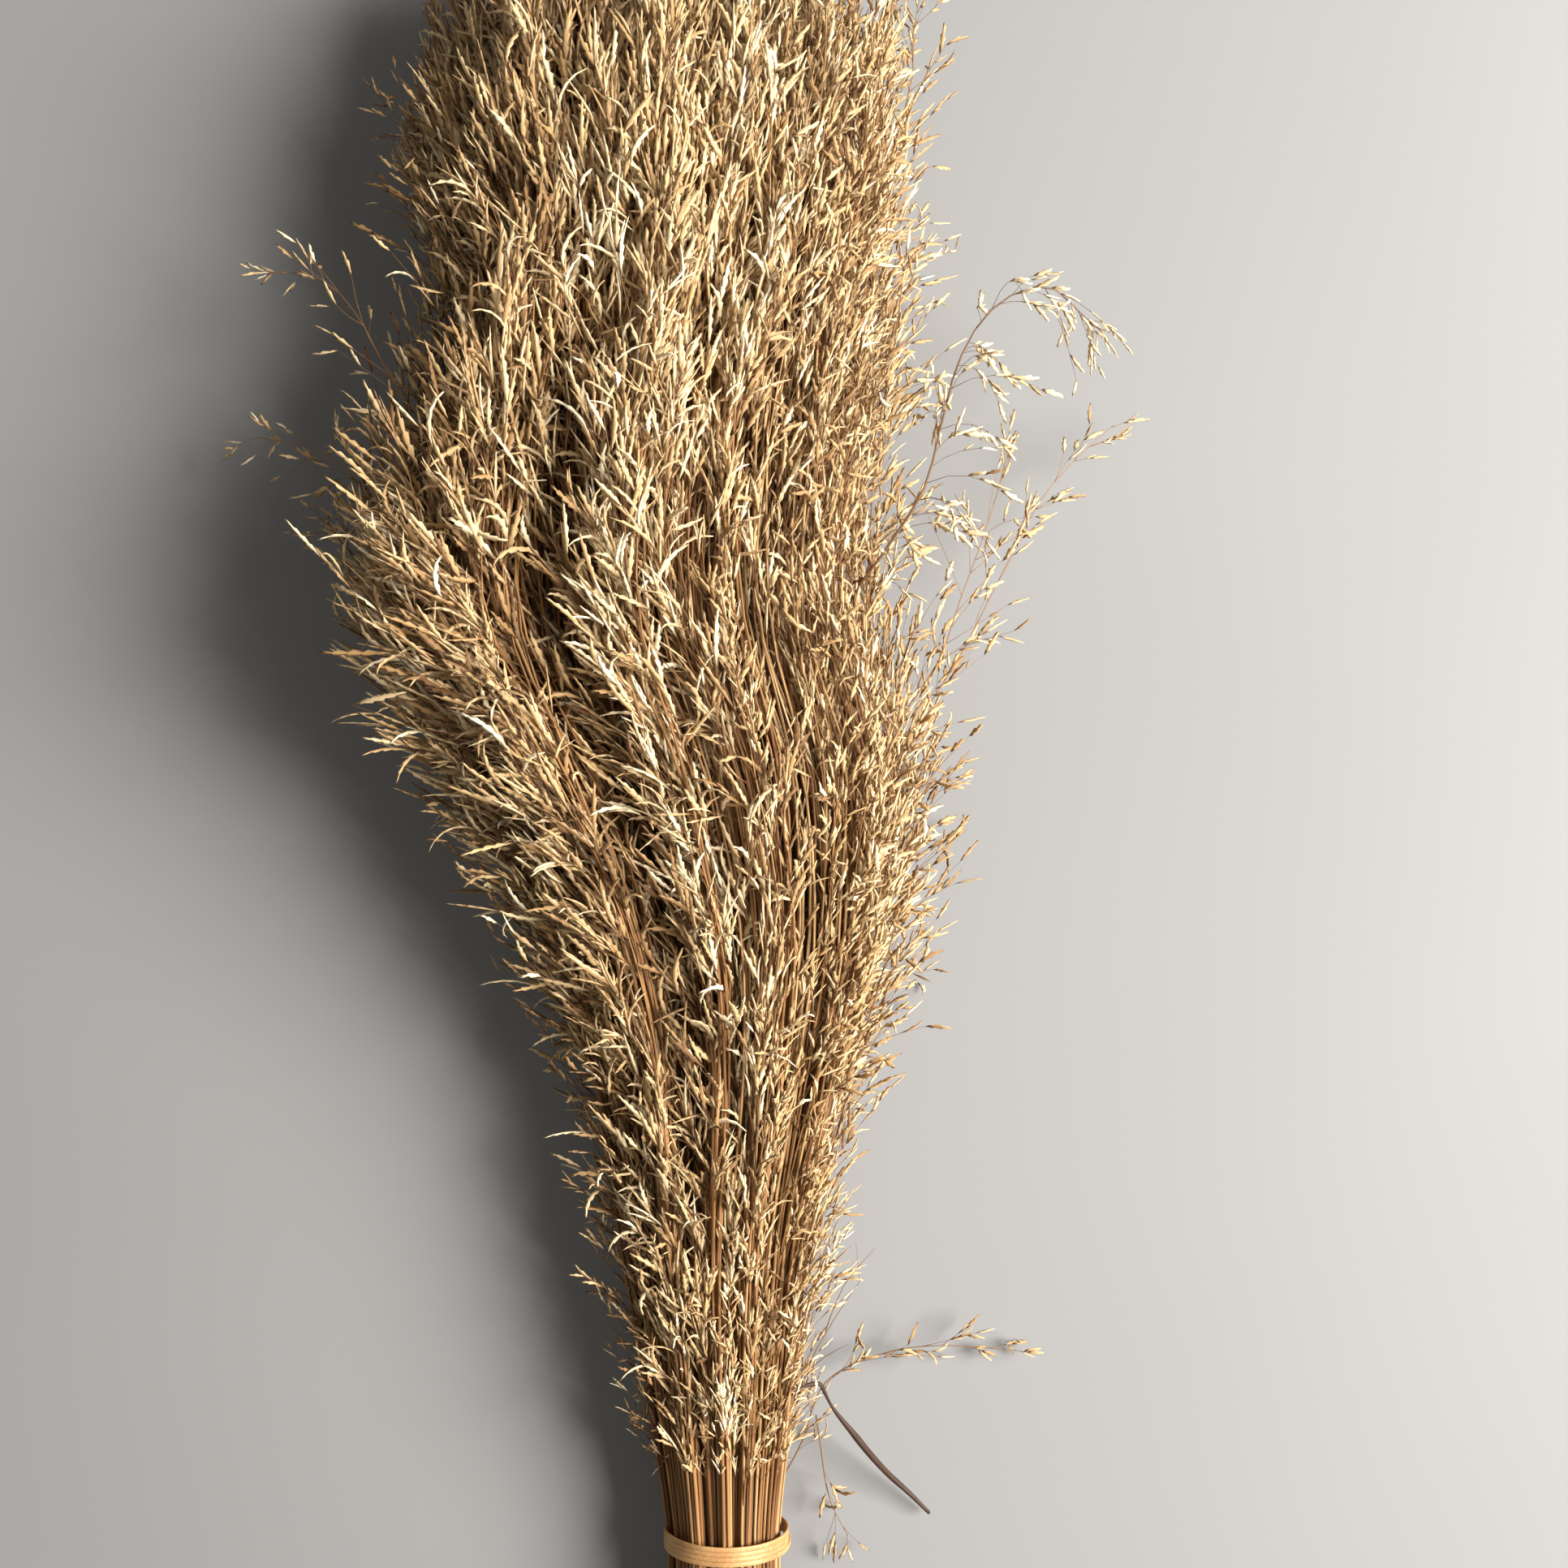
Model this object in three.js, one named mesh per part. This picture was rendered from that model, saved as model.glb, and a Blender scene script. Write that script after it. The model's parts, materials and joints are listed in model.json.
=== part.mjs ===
// A bundle of dried oat stalks, gathered at the stems by a rubber band and laid on its side.
// Millimetres, +Z up. The stalks run along +Y: cut ends at -Y, seed heads at +Y, resting on z = 0.
//
// The stalks fan out of the band like the bristles of a broom. Every stalk keeps one place in a round
// "sheaf disc" (u across, v up, both -1 to 1), and FAN says how that disc is stretched, moved sideways
// and flattened at each distance from the band. So neighbours never cross, whatever the sizes are.
import * as THREE from 'three';
import { mergeVertices } from 'three/addons/utils/BufferGeometryUtils.js';

// Overall sizes
const STUB_LENGTH = 135;        // cut ends to the band
const HEAD_LENGTH = 718;        // band to the tallest tip
const TIE_RADIUS = 25;          // of the stalks where the band grips them
const HEAD_HALF_WIDTH = 109;    // of the fanned head at its widest
const HEAD_HALF_HEIGHT = 72;    // of the fanned head at its thickest
const HEAD_LEAN = 36;           // how far the head's middle drifts towards -X
const SETTLED_DEPTH = 8;        // how much of the head has settled flat on the ground

// The rubber band
const BAND_WIDTH = 9;
const BAND_THICKNESS = 2.3;
const BAND_CLEARANCE = 0.6;     // between the band and the outermost stalks
const BAND_FACETS = 36;
const BAND_CORNER = 0.8;        // chamfer of the band's four edges

// The sprigs: each one stands for a handful of stalks with their seed heads
const SHEAF_SLOTS = 55;         // places in the sheaf disc, sprigs and stray stalks together
const SPRIG_CLEARANCE = 0.45;   // least gap between two sprigs, at the band
const SPRIG_SIDES = 6;
const TIP_LENGTH = 38;          // the taper at a sprig's end
const SHOULDER_FULLNESS = 0.82; // of the sprig's radius where the taper starts
const TIP_FULLNESS = 0.2;       // of the sprig's radius at the very end
const OUTER_SHORTFALL = 0.2;    // how much shorter than the head the outermost sprigs may be
const RIGHT_LOBE_DROP = 0.07;   // how much lower the head's +X side ends

// The stray stalks
const STRAY_SIDES = 6;
const STRAY_RINGS = 26;
const LEAST_TIP_RADIUS = 0.5;

const GOLDEN_ANGLE = Math.PI * (3 - Math.sqrt(5));
const GOLDEN_FRACTION = (Math.sqrt(5) - 1) / 2;
const SUNFLOWER_SPACING = 1.54; // least distance in a sunflower pattern, times the square root of its count

// The sprigs' radius in the sheaf disc: half the slots' spacing, less half the clearance. The outermost
// sprigs touch the disc's rim, so the slots share a disc that is smaller by this same radius.
const HALF_SPACING = SUNFLOWER_SPACING / Math.sqrt(SHEAF_SLOTS) / 2;
const SPRIG_RADIUS = (HALF_SPACING - SPRIG_CLEARANCE / TIE_RADIUS / 2) / (1 + HALF_SPACING);

// The fan, from the cut ends to the tips. Each row: distance from the band as a share of the stub or
// of the head, then the shares of the band-to-head growth in width and height, of the lean, of the
// flattening on the ground, and of the lift that the band gives the stalks.
const FAN = [
  { stub: 1, wider: 0.05, taller: 0.03, lean: -0.1, flat: 0, lift: 0.5 },
  { stub: 0.45, wider: 0.01, taller: 0.01, lean: -0.04, flat: 0, lift: 0.8 },
  { stub: 0, wider: 0, taller: 0, lean: 0, flat: 0, lift: 1 },
  { head: 0.085, wider: 0.107, taller: 0.11, lean: 0.03, flat: 0.1, lift: 1 },
  { head: 0.18, wider: 0.244, taller: 0.26, lean: 0.07, flat: 0.3, lift: 0.75 },
  { head: 0.28, wider: 0.44, taller: 0.45, lean: 0, flat: 0.6, lift: 0.4 },
  { head: 0.36, wider: 0.68, taller: 0.65, lean: 0.06, flat: 0.85, lift: 0.1 },
  { head: 0.445, wider: 0.917, taller: 0.83, lean: 0.42, flat: 1, lift: 0 },
  { head: 0.53, wider: 1, taller: 0.95, lean: 1, flat: 1, lift: 0 },
  { head: 0.615, wider: 0.917, taller: 1, lean: 0.97, flat: 1, lift: 0 },
  { head: 0.71, wider: 0.786, taller: 1, lean: 0.67, flat: 1, lift: 0 },
  { head: 0.81, wider: 0.905, taller: 0.97, lean: 0.78, flat: 1, lift: 0 },
  { head: 0.905, wider: 0.905, taller: 0.85, lean: 0.75, flat: 1, lift: 0 },
  { head: 1, wider: 0.714, taller: 0.6, lean: 1.1, flat: 1, lift: 0 },
].map(placeFanRow);

// Turns a FAN row's shares into millimetres.
function placeFanRow(row) {
  return {
    along: row.head === undefined ? -row.stub * STUB_LENGTH : row.head * HEAD_LENGTH,
    halfWidth: TIE_RADIUS + row.wider * (HEAD_HALF_WIDTH - TIE_RADIUS),
    halfHeight: TIE_RADIUS + row.taller * (HEAD_HALF_HEIGHT - TIE_RADIUS),
    middle: -row.lean * HEAD_LEAN,
    flat: row.flat,
    lift: row.lift * (BAND_THICKNESS + BAND_CLEARANCE),
  };
}

// The fan's measures at any distance along it, between its two nearest rows.
function fanAt(along) {
  const next = Math.max(1, FAN.findIndex((row) => row.along >= along));
  const [before, after] = [FAN[next - 1], FAN[next]];
  const share = (along - before.along) / (after.along - before.along);
  const measures = {};
  for (const key of Object.keys(before)) {
    measures[key] = THREE.MathUtils.lerp(before[key], after[key], share);
  }
  return measures;
}

// Where the disc's place (u, v) lies at this distance along the bundle. The lower half of the disc is
// pushed down at its sides, so the head rests on a broad underside instead of a single line.
function fanPoint(along, u, v) {
  const fan = fanAt(along);
  const sideRise = 1 - Math.sqrt(Math.max(0, 1 - u * u));
  const height = v + 1 - fan.flat * sideRise * (1 - v) / 2;
  const z = fan.lift + fan.halfHeight * height - fan.flat * SETTLED_DEPTH;
  return new THREE.Vector3(fan.middle + fan.halfWidth * u, along, Math.max(0, z));
}

// A sunflower pattern: SHEAF_SLOTS evenly spread places, the last ones nearest the disc's rim.
function sheafSlots() {
  const slots = [];
  for (let index = 0; index < SHEAF_SLOTS; index += 1) {
    const reach = (1 - SPRIG_RADIUS) * Math.sqrt((index + 0.5) / SHEAF_SLOTS);
    const angle = index * GOLDEN_ANGLE;
    slots.push({ u: reach * Math.cos(angle), v: reach * Math.sin(angle), reach, index });
  }
  return slots;
}

// Takes the free slot nearest to a wanted place out of the list.
function takeSlot(slots, wanted) {
  const distance = (slot) => Math.hypot(slot.u - wanted.u, slot.v - wanted.v);
  const nearest = slots.reduce((best, slot) => (distance(slot) < distance(best) ? slot : best));
  slots.splice(slots.indexOf(nearest), 1);
  return nearest;
}

// A closed cylinder with one ring of corners for each station, whose corners placeCorner moves.
function ringedSolid(sides, rings, placeCorner) {
  const flatSideDown = Math.PI / sides;
  const geometry = new THREE.CylinderGeometry(1, 1, rings, sides, rings, false, flatSideDown);
  geometry.deleteAttribute('normal');
  geometry.deleteAttribute('uv');
  const solid = mergeVertices(geometry);
  const corners = solid.getAttribute('position');
  for (let index = 0; index < corners.count; index += 1) {
    const ring = Math.round(corners.getY(index) + rings / 2);
    const corner = placeCorner(ring, corners.getX(index), corners.getZ(index));
    corners.setXYZ(index, corner.x, corner.y, corner.z);
  }
  solid.computeVertexNormals();
  return solid;
}

// How far from the band a sprig in this slot reaches: the +X side of the head ends lower, and the
// outer sprigs end at mixed heights.
function sprigReach(slot) {
  const lobe = RIGHT_LOBE_DROP * THREE.MathUtils.smoothstep(slot.u, 0, 0.5);
  const mixed = (slot.index * GOLDEN_FRACTION) % 1;
  return HEAD_LENGTH * (1 - lobe) * (1 - OUTER_SHORTFALL * mixed * slot.reach ** 2);
}

// One sprig: a six-sided shaft that follows its slot through the fan and tapers at its tip.
function sprigGeometry(slot) {
  const tip = sprigReach(slot);
  const shoulder = tip - TIP_LENGTH;
  const stations = FAN.filter((row) => row.along < shoulder - TIP_LENGTH / 2).map((row) => ({
    along: row.along,
    fullness: 1,
  }));
  stations.push({ along: shoulder, fullness: SHOULDER_FULLNESS });
  stations.push({ along: tip, fullness: TIP_FULLNESS });
  return ringedSolid(SPRIG_SIDES, stations.length - 1, (ring, across, up) => {
    const { along, fullness } = stations[ring];
    const radius = SPRIG_RADIUS * fullness;
    return fanPoint(along, slot.u + radius * across, slot.v + radius * up);
  });
}

// A stray's free point beside the fan, from its distance outside the fan's edge, its distance from the
// band as a share of the head, and its height as a share of the fan's middle height there.
function besideFan(side, [outside, share, rise]) {
  const along = share * HEAD_LENGTH;
  const fan = fanAt(along);
  const x = fan.middle + side * (fan.halfWidth + outside);
  return new THREE.Vector3(x, along, rise * fan.halfHeight);
}

// A stalk that leaves the fan: it follows its slot until it leaves, then its own free points. A stray
// with no slot is a loose piece caught in the bundle's side.
function strayPath(stray, slot) {
  const held = slot === null ? [] : FAN.filter((row) => row.along <= stray.leaves * HEAD_LENGTH);
  const inFan = held.map((row) => fanPoint(row.along, slot.u, slot.v));
  const free = stray.points.map((point) => besideFan(stray.side, point));
  return new THREE.CatmullRomCurve3([...inFan, ...free], false, 'centripetal');
}

// The stray's radius at a share of its length: a thin stem, a spindle-shaped seed head, a fine tip.
function strayRadius(stray, share) {
  if (share <= stray.headFrom) {
    return stray.stemRadius;
  }
  const inHead = (share - stray.headFrom) / (1 - stray.headFrom);
  const swell = Math.sin(Math.PI * Math.min(1, inHead)) ** 0.7;
  return Math.max(LEAST_TIP_RADIUS, stray.stemRadius * (1 - inHead), stray.headRadius * swell);
}

function strayGeometry(stray, slot) {
  const path = strayPath(stray, slot);
  const frames = path.computeFrenetFrames(STRAY_RINGS);
  return ringedSolid(STRAY_SIDES, STRAY_RINGS, (ring, across, up) => {
    const share = ring / STRAY_RINGS;
    const radius = strayRadius(stray, share);
    return path.getPointAt(share)
      .addScaledVector(frames.normals[ring], across * radius)
      .addScaledVector(frames.binormals[ring], -up * radius);
  });
}

// The rubber band: a closed ring with chamfered edges, standing on the ground under the stalks.
function bandGeometry() {
  const inner = TIE_RADIUS + BAND_CLEARANCE;
  const outer = inner + BAND_THICKNESS;
  const half = BAND_WIDTH / 2;
  const profile = [
    [inner + BAND_CORNER, -half],
    [outer - BAND_CORNER, -half],
    [outer, BAND_CORNER - half],
    [outer, half - BAND_CORNER],
    [outer - BAND_CORNER, half],
    [inner + BAND_CORNER, half],
    [inner, half - BAND_CORNER],
    [inner, BAND_CORNER - half],
    [inner + BAND_CORNER, -half],
  ].map(([radius, along]) => new THREE.Vector2(radius, along));
  return new THREE.LatheGeometry(profile, BAND_FACETS);
}

// Stalks that leave the bundle. wanted: their place in the sheaf disc. leaves: how far along the head
// they still follow the fan. side: +1 for +X, -1 for -X. points: where they go then, for besideFan.
const STRAYS = [
  {
    name: 'arching_stalk',
    wanted: { u: 0.88, v: 0.32 },
    leaves: 0.53,
    side: 1,
    points: [[13, 0.604, 1.29], [26, 0.667, 1.28], [36, 0.7, 1.25], [54, 0.725, 1.17], [72, 0.73, 1.06],
      [89, 0.713, 0.92]],
    stemRadius: 1.1,
    headFrom: 0.82,
    headRadius: 8,
    colour: 0x6b4f33,
  },
  {
    name: 'slender_stalk',
    wanted: { u: 0.93, v: 0 },
    leaves: 0.445,
    side: 1,
    points: [[13, 0.512, 0.98], [28, 0.553, 0.95], [43, 0.597, 0.88], [53, 0.64, 0.79]],
    stemRadius: 0.8,
    headFrom: 0.84,
    headRadius: 9,
    colour: 0xa88556,
  },
  {
    name: 'far_reaching_stalk',
    wanted: { u: 0.88, v: -0.32 },
    leaves: 0.445,
    side: 1,
    points: [[23, 0.515, 0.6], [54, 0.582, 0.53], [71, 0.62, 0.48], [91, 0.652, 0.39], [105, 0.67, 0.34]],
    stemRadius: 0.8,
    headFrom: 0.76,
    headRadius: 8,
    colour: 0xb59263,
  },
  {
    name: 'low_side_stalk',
    wanted: { u: 0.75, v: -0.55 },
    leaves: 0,
    side: 1,
    points: [[3, 0.047, 0.5], [10, 0.082, 0.44], [34, 0.099, 0.4], [55, 0.103, 0.36], [72, 0.102, 0.32],
      [91, 0.099, 0.26]],
    stemRadius: 0.8,
    headFrom: 0.62,
    headRadius: 7,
    colour: 0x9a774c,
  },
  {
    name: 'left_high_stalk',
    wanted: { u: -0.88, v: 0.32 },
    leaves: 0.615,
    side: -1,
    points: [[3, 0.655, 1.25], [23, 0.688, 1.2], [42, 0.723, 1.1], [55, 0.741, 1], [70, 0.748, 0.89]],
    stemRadius: 0.8,
    headFrom: 0.86,
    headRadius: 8,
    colour: 0x84704a,
  },
  {
    name: 'left_middle_stalk',
    wanted: { u: -0.93, v: 0 },
    leaves: 0.53,
    side: -1,
    points: [[9, 0.599, 0.96], [22, 0.623, 0.87], [43, 0.641, 0.76], [59, 0.65, 0.64], [81, 0.657, 0.53]],
    stemRadius: 0.8,
    headFrom: 0.85,
    headRadius: 8,
    colour: 0x8c764e,
  },
  {
    name: 'left_low_stalk',
    wanted: { u: -0.88, v: -0.32 },
    leaves: 0.53,
    side: -1,
    points: [[10, 0.563, 0.62], [29, 0.591, 0.5], [44, 0.607, 0.35]],
    stemRadius: 0.8,
    headFrom: 0.86,
    headRadius: 8,
    colour: 0x8c764e,
  },
  {
    name: 'broken_straw',
    side: 1,
    points: [[7, 0.089, 1.2], [13, 0.075, 1.1], [24, 0.057, 0.95], [33, 0.042, 0.75], [42, 0.028, 0.5],
      [53, 0.014, 0.3], [63, 0.001, 0.16]],
    stemRadius: 1.4,
    headFrom: 0.99,
    headRadius: 1.4,
    colour: 0x5a4636,
  },
  {
    name: 'drooping_wisp',
    side: 1,
    points: [[7, 0.067, 0.85], [11, 0.047, 0.8], [15, 0.026, 0.68], [20, 0.008, 0.5], [27, -0.011, 0.3]],
    stemRadius: 0.7,
    headFrom: 0.6,
    headRadius: 4,
    colour: 0xa08458,
  },
];

const bundle = new THREE.Group();

function addPiece(name, geometry, colour, roughness) {
  const material = new THREE.MeshStandardMaterial({ color: colour, roughness, metalness: 0 });
  const mesh = new THREE.Mesh(geometry, material);
  mesh.name = name;
  bundle.add(mesh);
  return mesh;
}

function addBand() {
  const band = addPiece('tie_band', bandGeometry(), 0xb48a5c, 0.55);
  band.position.z = BAND_THICKNESS + BAND_CLEARANCE + TIE_RADIUS;
}

function addStrays(slots) {
  for (const stray of STRAYS) {
    const slot = stray.wanted === undefined ? null : takeSlot(slots, stray.wanted);
    addPiece(stray.name, strayGeometry(stray, slot), stray.colour, 0.8);
  }
}

function addSprigs(slots) {
  const straw = new THREE.Color(0xbe9b69);
  slots.forEach((slot, order) => {
    const shade = 0.85 + 0.3 * ((slot.index * GOLDEN_FRACTION) % 1);
    const name = `sprig_${String(order + 1).padStart(2, '0')}`;
    addPiece(name, sprigGeometry(slot), straw.clone().multiplyScalar(shade), 0.85);
  });
}

// Puts the origin on the ground under the middle of the whole bundle.
function centreOnGround() {
  const box = new THREE.Box3().setFromObject(bundle);
  const middle = box.getCenter(new THREE.Vector3());
  bundle.position.set(-middle.x, -middle.y, -box.min.z);
}

const freeSlots = sheafSlots();
addStrays(freeSlots);
addSprigs(freeSlots);
addBand();
centreOnGround();

export default bundle;
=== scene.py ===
"""The looks of a bundle of dried oats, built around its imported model.

Each sprig node of the model stands for a handful of stalks. Here the handful is grown: thin stems from
the cut ends to the tips, each with a seed head of hair-thin branches and toothed spikelets. The stray
stalks grow along their own nodes, and a wound rubber band takes the place of the plain ring.

Lengths are in millimetres until a mesh is made. X is across, Y runs along the stalks and Z is up.
"""

import json
import math
from dataclasses import dataclass, replace
from typing import NamedTuple

import bpy
import numpy as np
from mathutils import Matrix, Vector

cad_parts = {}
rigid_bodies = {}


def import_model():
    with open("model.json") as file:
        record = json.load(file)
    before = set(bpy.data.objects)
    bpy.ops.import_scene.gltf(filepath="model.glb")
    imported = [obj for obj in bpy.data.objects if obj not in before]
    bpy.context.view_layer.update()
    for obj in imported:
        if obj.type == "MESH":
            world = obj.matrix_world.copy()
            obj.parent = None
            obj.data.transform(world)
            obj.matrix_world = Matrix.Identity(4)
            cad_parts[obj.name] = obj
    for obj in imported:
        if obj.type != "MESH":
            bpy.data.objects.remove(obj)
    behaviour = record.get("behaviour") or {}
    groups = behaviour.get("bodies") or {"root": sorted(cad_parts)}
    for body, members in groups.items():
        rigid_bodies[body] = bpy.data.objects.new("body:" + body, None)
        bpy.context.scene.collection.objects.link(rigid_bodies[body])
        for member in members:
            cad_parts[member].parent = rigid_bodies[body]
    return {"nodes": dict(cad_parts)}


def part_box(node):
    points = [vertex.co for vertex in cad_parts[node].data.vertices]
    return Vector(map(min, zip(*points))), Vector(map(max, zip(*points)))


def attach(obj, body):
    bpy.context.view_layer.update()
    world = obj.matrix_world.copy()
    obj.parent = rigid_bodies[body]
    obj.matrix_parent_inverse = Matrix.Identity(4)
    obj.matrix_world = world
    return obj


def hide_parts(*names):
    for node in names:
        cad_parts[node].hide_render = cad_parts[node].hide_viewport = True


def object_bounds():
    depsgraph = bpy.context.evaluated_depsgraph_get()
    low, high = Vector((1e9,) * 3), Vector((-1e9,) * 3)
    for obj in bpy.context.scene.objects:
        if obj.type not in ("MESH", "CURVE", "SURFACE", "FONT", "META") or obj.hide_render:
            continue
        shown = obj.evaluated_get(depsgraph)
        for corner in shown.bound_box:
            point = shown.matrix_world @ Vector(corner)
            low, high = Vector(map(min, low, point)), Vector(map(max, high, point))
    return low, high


MM = 0.001
TINY = 1e-9
SEED = 7
GOLDEN_ANGLE = math.pi * (3 - math.sqrt(5))
GOLDEN_FRACTION = (math.sqrt(5) - 1) / 2

for leftover in list(bpy.data.objects):
    bpy.data.objects.remove(leftover)

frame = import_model()
cad_low, cad_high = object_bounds()


def put_in_scene(name, data):
    """A new object, with a mesh, a light or a camera as its data."""
    placed = bpy.data.objects.new(name, data)
    bpy.context.scene.collection.objects.link(placed)
    return placed


# ---------------------------------------------------------------- reading the model

def smooth(wanted, known, values):
    """Values at the wanted places, on a smooth curve through the known ones."""
    slopes = np.gradient(values, known, axis=0)
    after = np.clip(np.searchsorted(known, wanted), 1, len(known) - 1)
    before = after - 1
    span = (known[after] - known[before])[:, None]
    share = np.clip((wanted - known[before])[:, None] / span, 0, 1)
    rest = 1 - share
    return (
        values[before] * (1 + 2 * share) * rest**2
        + values[after] * (1 + 2 * rest) * share**2
        + slopes[before] * span * share * rest**2
        - slopes[after] * span * rest * share**2
    )


def unit(vectors):
    """The vectors at length 1."""
    return vectors / np.maximum(np.linalg.norm(vectors, axis=-1, keepdims=True), TINY)


def lengths_along(path):
    """The distance travelled to each point of a path."""
    steps = np.linalg.norm(np.diff(path, axis=0), axis=1)
    return np.concatenate([[0], np.cumsum(steps)])


def points_at(places, travelled, path):
    """The points at some distances along a path."""
    return np.stack([np.interp(places, travelled, path[:, axis]) for axis in range(3)], axis=-1)


def evenly(path, count):
    """The path as a smooth line of evenly spaced points."""
    travelled = lengths_along(path)
    return smooth(np.linspace(0, travelled[-1], count), travelled, path)


def welded_mesh(name):
    """A node's corners in mm, each once, and its triangles."""
    mesh = frame["nodes"][name].data
    mesh.calc_loop_triangles()
    corners = np.array([vertex.co for vertex in mesh.vertices]) / MM
    triangles = np.array([triangle.vertices for triangle in mesh.loop_triangles])
    welded, index = np.unique(np.round(corners, 3), axis=0, return_inverse=True)
    return welded, index.reshape(-1)[triangles]


def end_middles(corners, triangles):
    """The two corners in the middle of a tube's flat ends: all their triangles face the same way."""
    sides = corners[triangles]
    normals = unit(np.cross(sides[:, 1] - sides[:, 0], sides[:, 2] - sides[:, 0]))
    spread = []
    for corner in range(len(corners)):
        mine = normals[(triangles == corner).any(axis=1)]
        spread.append(1 - (mine @ mine[0]).min())
    return np.argsort(spread)[:2]


def sprig_rings(name):
    """The rings of a sprig node, from its cut end to its tip: their middles and half sizes. Each ring
    lies at one distance along the bundle."""
    corners, _ = welded_mesh(name)
    levels, ring = np.unique(np.round(corners[:, 1], 1), return_inverse=True)
    rings = [corners[ring == number] for number in range(len(levels))]
    middles = [(found.min(axis=0) + found.max(axis=0)) / 2 for found in rings]
    half_sizes = [np.ptp(found, axis=0) / 2 for found in rings]
    return np.array(middles), np.array(half_sizes)


def stray_line(name, starts_near):
    """The middle line of a thin tube node, from the end nearest to a point."""
    corners, triangles = welded_mesh(name)
    neighbours = {corner: set() for corner in range(len(corners))}
    for triangle in triangles:
        for corner in triangle:
            neighbours[corner].update(triangle)
    ends = end_middles(corners, triangles)
    start = min(ends, key=lambda end: np.linalg.norm(corners[end] - starts_near))
    seen = {start}
    ring = [start]
    middles = []
    while True:
        ring = sorted({near for corner in ring for near in neighbours[corner]} - seen)
        if len(ring) < 3:  # only the far end's middle is left
            return np.array(middles)
        seen.update(ring)
        middles.append(corners[ring].mean(axis=0))


def node_box(name):
    """A node's lowest and highest corners, in mm."""
    low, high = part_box(name)
    return np.array(low) / MM, np.array(high) / MM


band_low, band_high = node_box("tie_band")
TIE = (band_low + band_high) / 2
BAND_WIDTH = band_high[1] - band_low[1]
BAND_RADIUS = (band_high[0] - band_low[0]) / 2
STEMS_RADIUS = BAND_RADIUS - 2  # of all the stems inside the band
CEILING = cad_high.z / MM
BUTT = cad_low.y / MM
SPRIGS = sorted(name for name in frame["nodes"] if name.startswith("sprig_"))
DOWN_THE_STALKS = np.array([0, -1, 0])
BELOW_CUTS = TIE + (TIE[1] - BUTT) * 3 * DOWN_THE_STALKS  # a point far below the cut ends
GRID_STATIONS = 60
LOWEST_GAP = 2.0  # the least height of a gap's middle line


class Handful:
    """One sprig node: where its middle and its edge are at each distance along the bundle."""

    def __init__(self, name):
        middles, half_sizes = sprig_rings(name)
        half_sizes[-2:] = half_sizes[-3]  # the node tapers to a point, its stalks don't
        self.along = middles[:, 1]
        self.tip = self.along[-1]
        self.columns = np.hstack([middles[:, ::2], half_sizes[:, ::2]])
        at_tie = self.at(np.array([TIE[1]]))[0, :2] - TIE[::2]
        self.place = at_tie / STEMS_RADIUS

    def at(self, along):
        """Columns x, z and the half sizes across and up."""
        return smooth(along, self.along, self.columns)


HANDFULS = {name: Handful(name) for name in SPRIGS}
GRID = np.linspace(BUTT, max(handful.tip for handful in HANDFULS.values()), GRID_STATIONS)
ON_GRID = np.array([handful.at(GRID) for handful in HANDFULS.values()])
MIDDLE_LINE = ON_GRID[..., :2].mean(axis=0)
HALF_WIDTHS = np.ptp(ON_GRID[..., 0], axis=0) / 2


def height_terms(place):
    """What a handful's height depends on: nothing, its place up, and its place towards a lower side."""
    across, up = place
    side_rise = 1 - math.sqrt(max(0, 1 - across**2))
    return [1, up, side_rise * (1 - up)]


class Gap(Handful):
    """The place in the sheaf that a stray stalk starts from. Other stalks grow there too, spread like
    the sprigs around it."""

    def __init__(self, stray):
        line = stray_line(stray, BELOW_CUTS)
        at_tie = np.array([np.interp(TIE[1], line[:, 1], line[:, axis]) for axis in (0, 2)])
        self.place = (at_tie - TIE[::2]) / STEMS_RADIUS
        x = self.fitted(lambda place: [1, place[0]], ON_GRID[..., 0])
        z = np.maximum(self.fitted(height_terms, ON_GRID[..., 1]), LOWEST_GAP)
        self.along = GRID
        self.columns = np.column_stack([x, z, np.median(ON_GRID[..., 2:], axis=0)])
        self.tip = np.median([handful.tip for handful in HANDFULS.values()])

    def fitted(self, terms, values):
        """What the sprigs' values come to at this place."""
        known = np.array([terms(handful.place) for handful in HANDFULS.values()])
        return np.array(terms(self.place)) @ np.linalg.lstsq(known, values, rcond=None)[0]


def middle_of_bundle(points):
    """The bundle's middle line at the points' distances along it."""
    x = np.interp(points[..., 1], GRID, MIDDLE_LINE[:, 0])
    z = np.interp(points[..., 1], GRID, MIDDLE_LINE[:, 1])
    return np.stack([x, points[..., 1], z], axis=-1)


def place_across(points):
    """Where the points are across the bundle: -1 and 1 at the middles of the outermost handfuls."""
    half_width = np.interp(points[..., 1], GRID, HALF_WIDTHS)
    return (points - middle_of_bundle(points))[..., 0] / half_width


# ---------------------------------------------------------------- shapes

HUSK, STEM = 0, 1  # a straw piece's materials


def fill(items, key, values, kind=np.float32):
    """Sets one value on each of a mesh's items."""
    items.foreach_set(key, np.asarray(values, kind).ravel())


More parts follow.
